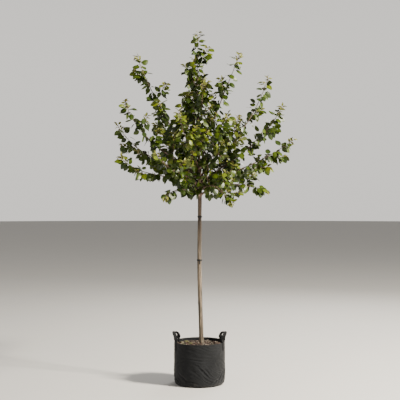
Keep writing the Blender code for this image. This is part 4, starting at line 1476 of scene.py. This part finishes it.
limb_samples = []
for bough in BOUGHS:
    for t in spread(0, 1, BOUGH_SAMPLES):
        limb_samples.append((limb_point(bough, t), limb_radius(t), bough[0] + "_leaves"))
for z in spread(TRUNK_FOOT, TREE_TOP, STEM_SAMPLES):
    limb_samples.append((stem_at(z), stem_radius(z), "leader"))
limb_tree = kdtree.KDTree(len(limb_samples))
for i, (p, _, _) in enumerate(limb_samples):
    limb_tree.insert(p, i)
limb_tree.balance()


def touches_limb(point, own, clearance=LIMB_CLEARANCE):
    """True where a limb other than the shoot's own one passes too near."""
    for _, i, distance in limb_tree.find_range(point, THICKEST_LIMB + clearance):
        _, radius, owner = limb_samples[i]
        if owner != own and distance < radius + clearance:
            return True
    return False


print(len(limb_samples), "points on the limbs")

# %% Twigs
TWIG_EVERY = 3
TWIG_FIRST = 1
TWIGS_END = 0.78
TWIG_LENGTHS = ((0.0, 0.23), (1.0, 0.08))
TWIG_LENGTH_SPREAD = 0.15
TWIG_SPREAD_DEG = 52
TWIG_SPREAD_VARIES_DEG = 8
TWIG_TURN_VARIES_DEG = 20
TWIG_LIFT = 0.35
TWIG_RADIUS = 0.0024
TWIG_TIP_RADIUS = 0.0012
TWIG_IN_STEM = 0.9
TWIG_BOW = 0.07
TWIG_POINTS = 12
SIDE_SHOOTS = {
    # (stem, growing point): azimuth, rise, length
    ("left_high_leaves", 7): (-40, 46, 0.165),
    ("left_upper_leaves", 4): (-62, 64, 0.14),
    ("left_upper_leaves", 7): (-38, 46, 0.13),
    ("left_low_leaves", 4): (222, 4, 0.15),
    ("right_high_leaves", 4): (205, 80, 0.17),
    ("right_low_leaves", 4): (-22, -8, 0.17),
    ("right_under_leaves", 4): (12, 50, 0.12),
}


def spoke(along, azimuth_deg):
    """Unit vector square to along, turned about it by azimuth_deg from level."""
    side = side_of(along)
    other = side.cross(along)
    a = math.radians(azimuth_deg)
    return (side * math.cos(a) + other * math.sin(a)).normalized()


def bowed(root, direction, length, bow, points):
    """A line that hangs through a little between its ends, so that its tip turns up."""
    down = Vector((0, 0, -4 * bow * length))
    return [root + direction * (length * s) + down * (s * (1 - s)) for s in spread(0, 1, points)]


def twigs_on(stem):
    """Side twigs of one stem, shorter towards its tip."""

    def vary(amount):
        return stem.rng.uniform(-amount, amount)

    found = []
    for i, (at, along, share) in enumerate(growing_points(stem.line, STEP)):
        if i % TWIG_EVERY != TWIG_FIRST or share > TWIGS_END:
            continue
        out = spoke(along, i * TURN_DEG + vary(TWIG_TURN_VARIES_DEG))
        aside = math.radians(TWIG_SPREAD_DEG + vary(TWIG_SPREAD_VARIES_DEG))
        direction = along * math.cos(aside) + out * math.sin(aside) + Vector((0, 0, TWIG_LIFT))
        length = between(TWIG_LENGTHS, share) * (1 + vary(TWIG_LENGTH_SPREAD))
        if (stem.name, i) in SIDE_SHOOTS:
            azimuth, rise, length = SIDE_SHOOTS[stem.name, i]
            direction = heading(azimuth, rise)
        line = bowed(at, direction.normalized(), length, TWIG_BOW, TWIG_POINTS)
        if any(touches_limb(p, stem.name) for p in line[2:]):
            continue
        foot = min(TWIG_RADIUS, TWIG_IN_STEM * stem.radius_at(share))
        radii = spread(foot, TWIG_TIP_RADIUS, TWIG_POINTS)
        found.append(Shoot(stem.name, line, radii, stem.rng, "twig"))
    return found


twigs = [twig for stem in stems for twig in twigs_on(stem)]
print(len(twigs), "twigs")

# %% Leader and inner boughs
# Spurs also grow on the leader, between the highest bough and its own leafy top.
LEADER_FROM = 1.955
LEADER_SEED = 3
leader_heights = spread(LEADER_FROM, TRUNK_TIP, 30)
leader_radii = [stem_radius(z) for z in leader_heights]
leader_line = [stem_at(z) for z in leader_heights]
leader = Shoot("leader", leader_line, leader_radii, random.Random(LEADER_SEED), "leader")

# So they do on the inner part of each bough, between the trunk and its leafy stem.
INNER_FROM = 0.06
INNER_SEED = 4
inner_rng = random.Random(INNER_SEED)
inner = [along_bough(bough, INNER_FROM, BARE_SHARE, 8, inner_rng, "inner") for bough in BOUGHS]

print(len(inner) + 1, "more lines that carry spurs")

# %% Spurs
SPUR_STEP = 0.023
SPUR_CHANCE = {
    "stem": ((0.0, 0.45), (0.30, 0.30), (0.50, 0.08), (0.65, 0.0)),
    "twig": ((0.0, 0.20), (0.5, 0.08), (0.8, 0.0)),
    "inner": ((0.0, 0.35), (1.0, 0.65)),
    "leader": ((0.0, 0.65), (1.0, 0.40)),
}
SPUR_LENGTHS = {
    "stem": (0.025, 0.085),
    "twig": (0.02, 0.045),
    "inner": (0.04, 0.10),
    "leader": (0.025, 0.08),
}
SPUR_SPREAD_DEG = (42, 68)
SPUR_LIFT = 0.30
SPUR_RADIUS = 0.0019
SPUR_TIP_RADIUS = 0.0013
SPUR_BOW = 0.05
SPUR_POINTS = 6
SPUR_TURN_VARIES_DEG = 18
SPUR_START_TURN_DEG = 61


def spurs_on(shoot, turn_start):
    """Short side shoots, and the growing points that are left for single leaves."""
    spurs, leaf_points = [], []
    varies = SPUR_TURN_VARIES_DEG
    for i, (at, along, share) in enumerate(growing_points(shoot.line, SPUR_STEP)):
        turn = turn_start + i * TURN_DEG + shoot.rng.uniform(-varies, varies)
        out = spoke(along, turn)
        chance = between(SPUR_CHANCE[shoot.kind], share)
        aside = math.radians(shoot.rng.uniform(*SPUR_SPREAD_DEG))
        length = shoot.rng.uniform(*SPUR_LENGTHS[shoot.kind]) * (1.15 - 0.5 * share)
        if shoot.rng.random() < chance:
            direction = along * math.cos(aside) + out * math.sin(aside) + Vector((0, 0, SPUR_LIFT))
            line = bowed(at, direction.normalized(), length, SPUR_BOW, SPUR_POINTS)
            if not any(touches_limb(p, shoot.name) for p in line[1:]):
                foot = min(SPUR_RADIUS, TWIG_IN_STEM * shoot.radius_at(share))
                radii = spread(foot, min(foot, SPUR_TIP_RADIUS), SPUR_POINTS)
                spurs.append(Shoot(shoot.name, line, radii, shoot.rng, "spur"))
                continue
        leaf_points.append((at + out * shoot.radius_at(share), along, turn, share))
    return spurs, leaf_points


spurs, leaf_points = [], []
for number, shoot in enumerate(stems + [leader] + inner + twigs):
    grown, points = spurs_on(shoot, number * SPUR_START_TURN_DEG)
    spurs += grown
    leaf_points += [(shoot, *point) for point in points]
print(len(spurs), "spurs and", len(leaf_points), "single leaves")

# %% Wood of the shoots
TWIG_SIDES = 6
SPUR_SIDES = 5
shoot_wood = Heap()
for shoot in stems[len(BOUGHS) :] + twigs:
    shoot_wood.add(*tube(shoot.line, shoot.radii, TWIG_SIDES))
for spur in spurs:
    shoot_wood.add(*tube(spur.line, spur.radii, SPUR_SIDES))

green_wood = Finish("shoot_wood", 0.5)
shoot_tone = green_wood.noise(30.0, detail=4.0)
shoot_colour = green_wood.mixed(shoot_tone, (0.055, 0.028, 0.016), (0.120, 0.080, 0.040))
green_wood.coloured(shoot_colour)
green_wood.bumped(green_wood.noise(400.0), 0.0004, 0.5)
make_piece("shoots", shoot_wood.points, shoot_wood.faces, [green_wood], MASS_NODES)

# %% [markdown]
# ## Leaves
#
# A pear leaf is a broad oval that narrows to a short point. It is folded a little along its
# midrib, arched along its length, and hangs from a thin stalk about half as long as the blade. The
# upper face is dark and glossy, the lower one paler and dull. The leaves at the end of a shoot are
# still small: they stand up, folded, and are yellow-green to bronze. A growing point on a stem or
# twig often carries two leaves, on opposite sides.
#
# Thousands of leaves can't each be shaped by hand. A few blades are made as templates, each a thin
# closed shell of some dozens of faces. Each leaf of the tree is then one of them, stretched,
# turned and put in place by arithmetic on whole arrays, which takes no time even for a large
# crown. A few old leaves have dropped on the mulch. They use the same templates.

# %% One blade
BLADE_THICKNESS = 0.013
BROAD_OUTLINE = (
    # share of the length, share of the width
    (0.06, 0.21),
    (0.18, 0.40),
    (0.34, 0.49),
    (0.51, 0.495),
    (0.68, 0.41),
    (0.83, 0.265),
    (0.94, 0.10),
)
YOUNG_OUTLINE = ((0.14, 0.28), (0.36, 0.49), (0.60, 0.46), (0.84, 0.22))
COLUMN_PLACES = (-1.0, -0.5, 0.0, 0.5, 1.0)
WAVES_PER_BLADE = 1.6
WAVE_OFFSET = 1.3


def blade_template(outline, width_share, fold_deg, arch, wave, phase, twist_deg):
    """(points, uv, faces, which side) of a blade one unit long, closed all round."""

    def place(v, half, c):
        """Point at v along the blade and c across it, where half is half the width."""
        x = c * half
        z = math.tan(math.radians(fold_deg)) * abs(x) * width_share * (1.15 - 0.35 * abs(c))
        start = phase + (WAVE_OFFSET if c > 0 else 0.0)
        z += wave * abs(c) * math.sin(2 * math.pi * WAVES_PER_BLADE * v + start)
        a = math.radians(twist_deg) * v
        wide = x * width_share
        sideways = (wide * math.cos(a) - z * math.sin(a)) / width_share
        return sideways, v, wide * math.sin(a) + z * math.cos(a) - arch * v * v

    points, uv = [(0.0, 0.0, 0.0)], [(0.5, 0.0)]
    for v, half in outline:
        points += [place(v, half, c) for c in COLUMN_PLACES]
        uv += [(0.5 + 0.5 * c * half / 0.5, v) for c in COLUMN_PLACES]
    points.append(place(1.0, 0.0, 0.0))
    uv.append((0.5, 1.0))
    wide = len(COLUMN_PLACES)
    tip = len(points) - 1
    lower = {}
    for row in range(len(outline)):
        for c in range(1, wide - 1):
            k = 1 + row * wide + c
            x, y, z = points[k]
            lower[k] = len(points)
            points.append((x, y, z - BLADE_THICKNESS))
            uv.append(uv[k])
    upper_faces = [(0, 2 + c, 1 + c) for c in range(wide - 1)]
    for row in range(len(outline) - 1):
        for c in range(wide - 1):
            a = 1 + row * wide + c
            upper_faces += [(a, a + 1, a + 1 + wide), (a, a + 1 + wide, a + wide)]
    last_row = 1 + (len(outline) - 1) * wide
    upper_faces += [(last_row + c, last_row + c + 1, tip) for c in range(wide - 1)]
    lower_faces = [tuple(lower.get(k, k) for k in reversed(face)) for face in upper_faces]
    which = [0] * len(upper_faces) + [1] * len(lower_faces)
    return np.array(points), np.array(uv), np.array(upper_faces + lower_faces), np.array(which)


print(len(BROAD_OUTLINE), "rows on a grown blade,", len(YOUNG_OUTLINE), "on a young one")

# %% Blade templates
TEMPLATE_SEED = 8
BROAD_BLADES = 10
YOUNG_BLADES = 6
BROAD_WIDTH = 0.74
YOUNG_WIDTH = 0.52

# Each blade draws its fold, arch, wave, phase of the wave and twist.
template_rng = random.Random(TEMPLATE_SEED)
BROAD = [
    blade_template(
        BROAD_OUTLINE,
        BROAD_WIDTH,
        template_rng.uniform(-22, 16),
        template_rng.uniform(0.10, 0.38),
        template_rng.uniform(0.008, 0.024),
        template_rng.uniform(0, 6),
        template_rng.uniform(-14, 14),
    )
    for _ in range(BROAD_BLADES)
]
YOUNG = [
    blade_template(
        YOUNG_OUTLINE,
        YOUNG_WIDTH,
        template_rng.uniform(14, 40),
        template_rng.uniform(0.22, 0.50),
        0.006,
        template_rng.uniform(0, 6),
        template_rng.uniform(-10, 10),
    )
    for _ in range(YOUNG_BLADES)
]
print(f"{len(BROAD[0][2])} faces on a grown blade, {len(YOUNG[0][2])} on a young one")

# %% Sizes and angles of the leaves
STALK_LENGTHS = (0.014, 0.024)
STALK_RADIUS = 0.00075
STALK_SWELLS = (1.3, 1.0, 0.8)
STALK_SIDES = 3
BLADE_LENGTHS = (0.052, 0.067)
OUTER_GROWTH = 0.08
YOUNG_LENGTH = 0.72
FRONT_SIZE = 0.84
SPUR_LEAF_SIZE = 0.90
PAIR_FROM = 0.25
PAIR_CHANCE = 0.6
PAIR_TURN_DEG = 160
DROOP_DEG = 56
DROOP_VARIES_DEG = 17
ROLL_DEG = 30
LEAF_AHEAD = (0.22, 0.55)
LEAF_FLATTEN = 0.35
LEAF_TILT_OUT = 0.4
SUNNY_SIDE = Vector((0.25, -0.95, 0.1))
SUNNY_SHARE = (0.15, 1.3)
FRONT_SUNNY = 0.45
LEAF_SPACING = 0.015
YOUNG_DROOP_DEG = 30
MOST_DROOP_DEG = 86
LEAST_DROOP_DEG = -60
WIDTH_VARIES = (0.92, 1.06)
PAST_BOX = 0.012
YOUNG_FROM = {"stem": 0.90, "twig": 0.85, "spur": 0.92, "inner": 1.1, "leader": 1.1}
EARLY = {"front_left_leaves": 0.25, "front_right_leaves": 0.75}
ROOM_LOW = cad_box[0] - Vector((PAST_BOX, PAST_BOX, 0.0))
ROOM_HIGH = cad_box[1] + Vector((PAST_BOX, PAST_BOX, PAST_BOX))

print(f"blades {1000 * BLADE_LENGTHS[0]:.0f} to {1000 * BLADE_LENGTHS[1]:.0f} mm long")

# %% One leaf
leaf_rows = {kind: [] for kind in ("dark", "green", "fresh", "tip")}
stalks = Heap()
taken = {}


def crowded(point):
    """True where another blade already has its middle near here. If not, this one now has."""
    cell = tuple(int(math.floor(c / LEAF_SPACING)) for c in point)
    for dx in (-1, 0, 1):
        for dy in (-1, 0, 1):
            for dz in (-1, 0, 1):
                for other in taken.get((cell[0] + dx, cell[1] + dy, cell[2] + dz), ()):
                    if (other - point).length < LEAF_SPACING:
                        return True
    taken.setdefault(cell, []).append(point)
    return False


def grow_leaf(shoot, at, along, turn, share, kind, size=1.0):
    """One leaf with its stalk, unless its place is taken."""
    rng = shoot.rng
    young = kind == "tip"
    out = spoke(along, turn)
    ahead = LEAF_AHEAD[0] + LEAF_AHEAD[1] * share**3
    level = (Vector((out.x, out.y, LEAF_FLATTEN * out.z)) + along * ahead).normalized()
    if young:
        droop = rng.uniform(-YOUNG_DROOP_DEG, YOUNG_DROOP_DEG)
    else:
        droop = DROOP_DEG * (1 - 0.6 * share**2) + rng.gauss(0, DROOP_VARIES_DEG)
    droop = math.radians(max(min(droop, MOST_DROOP_DEG), LEAST_DROOP_DEG))
    direction = (level * math.cos(droop) - UP * math.sin(droop)).normalized()
    roll = math.radians(rng.gauss(0, ROLL_DEG))
    front = shoot.name.startswith("front")
    sunny = rng.uniform(*SUNNY_SHARE) * (FRONT_SUNNY if front else 1)
    size *= FRONT_SIZE if front else 1
    flat = UP + out * LEAF_TILT_OUT + SUNNY_SIDE * sunny
    upper = flat * math.cos(roll) + direction.cross(flat).normalized() * math.sin(roll)
    across = direction.cross(upper).normalized()
    normal = across.cross(direction).normalized()
    growth = YOUNG_LENGTH if young else 1 + OUTER_GROWTH * share
    length = rng.uniform(*BLADE_LENGTHS) * size * growth
    stalk = rng.uniform(*STALK_LENGTHS) * size * (0.45 if young else 1)
    lift = (level + UP * (0.9 if young else 0.45)).normalized()
    elbow = at + lift * (stalk * 0.75)
    base = elbow + (lift * 0.4 + direction).normalized() * (stalk * 0.5)
    middle = base + direction * (length * 0.5)
    tip = base + direction * length
    outside = any(tip[k] < ROOM_LOW[k] or tip[k] > ROOM_HIGH[k] for k in range(3))
    if outside or touches_limb(middle, "") or crowded(middle):
        return
    width = length * (YOUNG_WIDTH if young else BROAD_WIDTH) * rng.uniform(*WIDTH_VARIES)
    variant = rng.randrange(len(YOUNG if young else BROAD))
    leaf_rows[kind].append((base, across, direction, normal, width, length, variant))
    stalk_radii = [STALK_RADIUS * swell for swell in STALK_SWELLS]
    stalks.add(*tube([at, elbow, base], stalk_radii, STALK_SIDES))


print("leaves keep", LEAF_SPACING, "m apart")

# %% Colours and numbers of leaves
TIP_SHARE = 0.4
EARLY_CHANCE = 0.35
DARK_CHANCE = 0.62
SPUR_LEAF_STEP = 0.021
SPUR_LEAF_TURN_DEG = 53
BRONZE_SPUR_CHANCE = 0.18
TIP_TURNS_DEG = (15, 140, 262)
TIP_START_TURN_DEG = 31
TIP_FIRST, TIP_GAP = 0.002, 0.005
BELOW_TIP_COUNT = 11
BELOW_TIP_FIRST, BELOW_TIP_GAP = 0.012, 0.010
BELOW_TIP_SIZE, BELOW_TIP_SIZE_STEP = 0.82, 0.02
BELOW_TIP_TURN_DEG = 75
BELOW_TIP_BRONZE = {"stem": 6, "twig": 5}
FRESH_UNTIL, EARLY_FRESH_UNTIL = 6, 8


def kind_for(shoot, share, tone):
    """The colour of a leaf: bronze at the very tip, fresh green below it, and dark on old wood."""
    start = YOUNG_FROM[shoot.kind]
    if shoot.kind == "stem" and share > start + TIP_SHARE * (1 - start):
        return "tip"
    early = shoot.name in EARLY and (
        share > EARLY[shoot.name] or shoot.kind != "stem" and tone < EARLY_CHANCE
    )
    if share > start or early:
        return "fresh"
    return "dark" if tone < DARK_CHANCE else "green"


for shoot, at, along, turn, share in leaf_points:
    kind = kind_for(shoot, share, shoot.rng.random())
    grow_leaf(shoot, at, along, turn, share, kind)
    if shoot.kind in ("stem", "twig") and share > PAIR_FROM and shoot.rng.random() < PAIR_CHANCE:
        grow_leaf(shoot, at, along, turn + PAIR_TURN_DEG, share, kind)
for number, spur in enumerate(spurs):
    kind = kind_for(spur, 0.0, spur.rng.random())
    start_turn = number * SPUR_LEAF_TURN_DEG
    for i, (at, along, share) in enumerate(growing_points(spur.line, SPUR_LEAF_STEP)[1:]):
        turn = start_turn + i * TURN_DEG
        grow_leaf(spur, at, along, turn, share * 0.6, kind, SPUR_LEAF_SIZE)
for number, shoot in enumerate(stems + twigs + spurs):
    along = (shoot.line[-1] - shoot.line[-2]).normalized()
    start_turn = number * TIP_START_TURN_DEG
    tone = shoot.rng.random()
    bronze = shoot.kind != "spur" or tone < BRONZE_SPUR_CHANCE
    kind = "tip" if bronze else kind_for(shoot, 0.0, tone)
    for i, turn in enumerate(TIP_TURNS_DEG):
        at = shoot.line[-1] - along * (TIP_FIRST + TIP_GAP * i)
        grow_leaf(shoot, at, along, start_turn + turn, 1.0, kind)
    if shoot.kind == "spur":
        continue
    fresh_until = EARLY_FRESH_UNTIL if shoot.name in EARLY else FRESH_UNTIL
    for i in range(BELOW_TIP_COUNT):
        at = shoot.line[-1] - along * (BELOW_TIP_FIRST + BELOW_TIP_GAP * i)
        kind = "fresh" if i < fresh_until else "green"
        if i < BELOW_TIP_BRONZE[shoot.kind]:
            kind = "tip"
        turn = start_turn + BELOW_TIP_TURN_DEG + i * TURN_DEG
        size = BELOW_TIP_SIZE + BELOW_TIP_SIZE_STEP * i
        grow_leaf(shoot, at, along, turn, 1.0, kind, size)
counts = {kind: len(rows) for kind, rows in leaf_rows.items()}
print(sum(counts.values()), "leaves:", counts)

# %% Leaf finishes
VEIN_SLANT = 0.75
SIDE_VEINS = 8.0


def leaf_finish(name, dark, light, vein, roughness, specular):
    """A blade's face: two tones in patches, a paler midrib, and side veins that quilt it."""
    finish = Finish(name, roughness, Specular_IOR_Level=specular)
    patches = finish.steps(finish.noise(24.0, detail=3.0), 0.34, 0.66)
    colour = finish.mixed(patches, dark, light)
    uv = finish.parts_of(finish.node("ShaderNodeTexCoord").outputs["UV"])
    aside = finish.combined("ABSOLUTE", finish.combined("SUBTRACT", uv["X"], 0.5), 0.0)
    slant = finish.combined("MULTIPLY", aside, VEIN_SLANT)
    rise = finish.combined("SUBTRACT", uv["Y"], slant)
    comb = finish.combined("PINGPONG", finish.combined("MULTIPLY", rise, SIDE_VEINS), 1.0)
    side_veins = finish.combined("MULTIPLY", finish.steps(comb, 0.10, 0.0), 0.45)
    midrib = finish.steps(aside, 0.035, 0.012)
    veins = finish.combined("MAXIMUM", side_veins, midrib)
    finish.coloured(finish.mixed(veins, colour, vein))
    finish.bumped(comb, 0.0006, 0.28)
    return finish


print(int(SIDE_VEINS), "side veins on each half of a blade")

# %% Colours of the leaves
LEAF_COLOURS = {
    # kind: dark, light and vein colour of the upper face, roughness, specular level
    "dark": ((0.014, 0.026, 0.002), (0.026, 0.046, 0.003), (0.042, 0.066, 0.010), 0.36, 0.36),
    "green": ((0.028, 0.048, 0.002), (0.050, 0.076, 0.003), (0.074, 0.102, 0.014), 0.38, 0.36),
    "fresh": ((0.056, 0.088, 0.002), (0.112, 0.138, 0.004), (0.145, 0.170, 0.018), 0.42, 0.32),
    "tip": ((0.080, 0.078, 0.010), (0.125, 0.140, 0.020), (0.165, 0.160, 0.035), 0.46, 0.32),
    "fallen": ((0.045, 0.052, 0.012), (0.110, 0.100, 0.030), (0.160, 0.140, 0.060), 0.60, 0.30),
}
UNDER_ROUGHNESS, UNDER_SPECULAR = 0.62, 0.3
UNDER_COLOURS = {
    # kind: dark, light and vein colour of the lower face
    "dark": ((0.024, 0.040, 0.006), (0.038, 0.058, 0.009), (0.060, 0.082, 0.020)),
    "green": ((0.036, 0.056, 0.007), (0.054, 0.078, 0.010), (0.082, 0.106, 0.024)),
    "fresh": ((0.085, 0.112, 0.020), (0.120, 0.145, 0.030), (0.160, 0.185, 0.050)),
    "tip": ((0.125, 0.100, 0.030), (0.150, 0.145, 0.040), (0.190, 0.160, 0.055)),
    "fallen": ((0.080, 0.080, 0.030), (0.130, 0.120, 0.050), (0.170, 0.150, 0.070)),
}

print(len(LEAF_COLOURS), "kinds of leaf")

# %% Fallen leaves
FALLEN_SPOTS = (
    # azimuth on the mound, distance from the stem, turn and tilt of the blade
    (196, 0.150, 20, 0.10),
    (183, 0.118, 250, -0.12),
    (214, 0.168, 130, 0.16),
    (172, 0.165, 80, -0.05),
    (226, 0.110, 300, 0.08),
    (158, 0.130, 200, 0.14),
    (330, 0.155, 60, -0.10),
    (62, 0.120, 150, 0.06),
)
FALLEN_LIFT = 0.0155
FALLEN_LENGTH = 0.046
FALLEN_LENGTH_STEP = 0.003


def fallen_row(number, azimuth, distance, turn, tilt):
    """One old leaf that lies flat on the chips."""
    p = outward(azimuth) * distance
    along = (outward(turn) + UP * tilt).normalized()
    across = along.cross(UP).normalized()
    length = FALLEN_LENGTH + FALLEN_LENGTH_STEP * (number % 4)
    base = Vector((p.x, p.y, mound_height(p.x, p.y) + FALLEN_LIFT)) - along * (length / 2)
    return base, across, along, across.cross(along), length * BROAD_WIDTH, length, number


leaf_rows["fallen"] = [fallen_row(i, *spot) for i, spot in enumerate(FALLEN_SPOTS)]
print(len(FALLEN_SPOTS), "fallen leaves")


# %% Blades
def placed_blades(rows, templates):
    """All the blades of some rows as one mesh: each template goes to all of its rows at once."""
    all_points, all_uv, all_faces, all_which, count = [], [], [], [], 0
    for variant, (points, uv, faces, which) in enumerate(templates):
        chosen = [row for row in rows if row[6] == variant]
        if not chosen:
            continue
        columns = [np.array(column) for column in zip(*chosen)]
        base, across, along, normal = (column[:, None, :] for column in columns[:4])
        width, length = (column[:, None, None] for column in columns[4:6])
        x, y, z = (points[None, :, k, None] for k in range(3))
        placed = base + across * (x * width) + along * (y * length) + normal * (z * length)
        offsets = count + len(points) * np.arange(len(chosen))[:, None, None]
        all_points.append(placed.reshape(-1, 3))
        all_uv.append(np.tile(uv, (len(chosen), 1)))
        all_faces.append((faces[None] + offsets).reshape(-1, 3))
        all_which.append(np.tile(which, len(chosen)))
        count += len(points) * len(chosen)
    return [np.concatenate(part) for part in (all_points, all_uv, all_faces, all_which)]


for kind, rows in leaf_rows.items():
    points, uv, faces, which = placed_blades(rows, YOUNG if kind == "tip" else BROAD)
    finishes = [
        leaf_finish(f"leaf_{kind}", *LEAF_COLOURS[kind]),
        leaf_finish(f"leaf_{kind}_under", *UNDER_COLOURS[kind], UNDER_ROUGHNESS, UNDER_SPECULAR),
    ]
    if kind == "fallen":
        name, slot, replaced = "fallen_leaves", "compost", ["root_ball"]
    else:
        name, slot, replaced = f"leaves_{kind}", "foliage", MASS_NODES
    make_piece(name, points, faces.tolist(), finishes, replaced, uv=uv, which=which)

stalk_finish = Finish("leaf_stalk", 0.5)
stalk_tone = stalk_finish.noise(20.0)
stalk_finish.coloured(stalk_finish.mixed(stalk_tone, (0.150, 0.160, 0.060), (0.230, 0.130, 0.070)))
make_piece("leaf_stalks", stalks.points, stalks.faces, [stalk_finish], MASS_NODES)
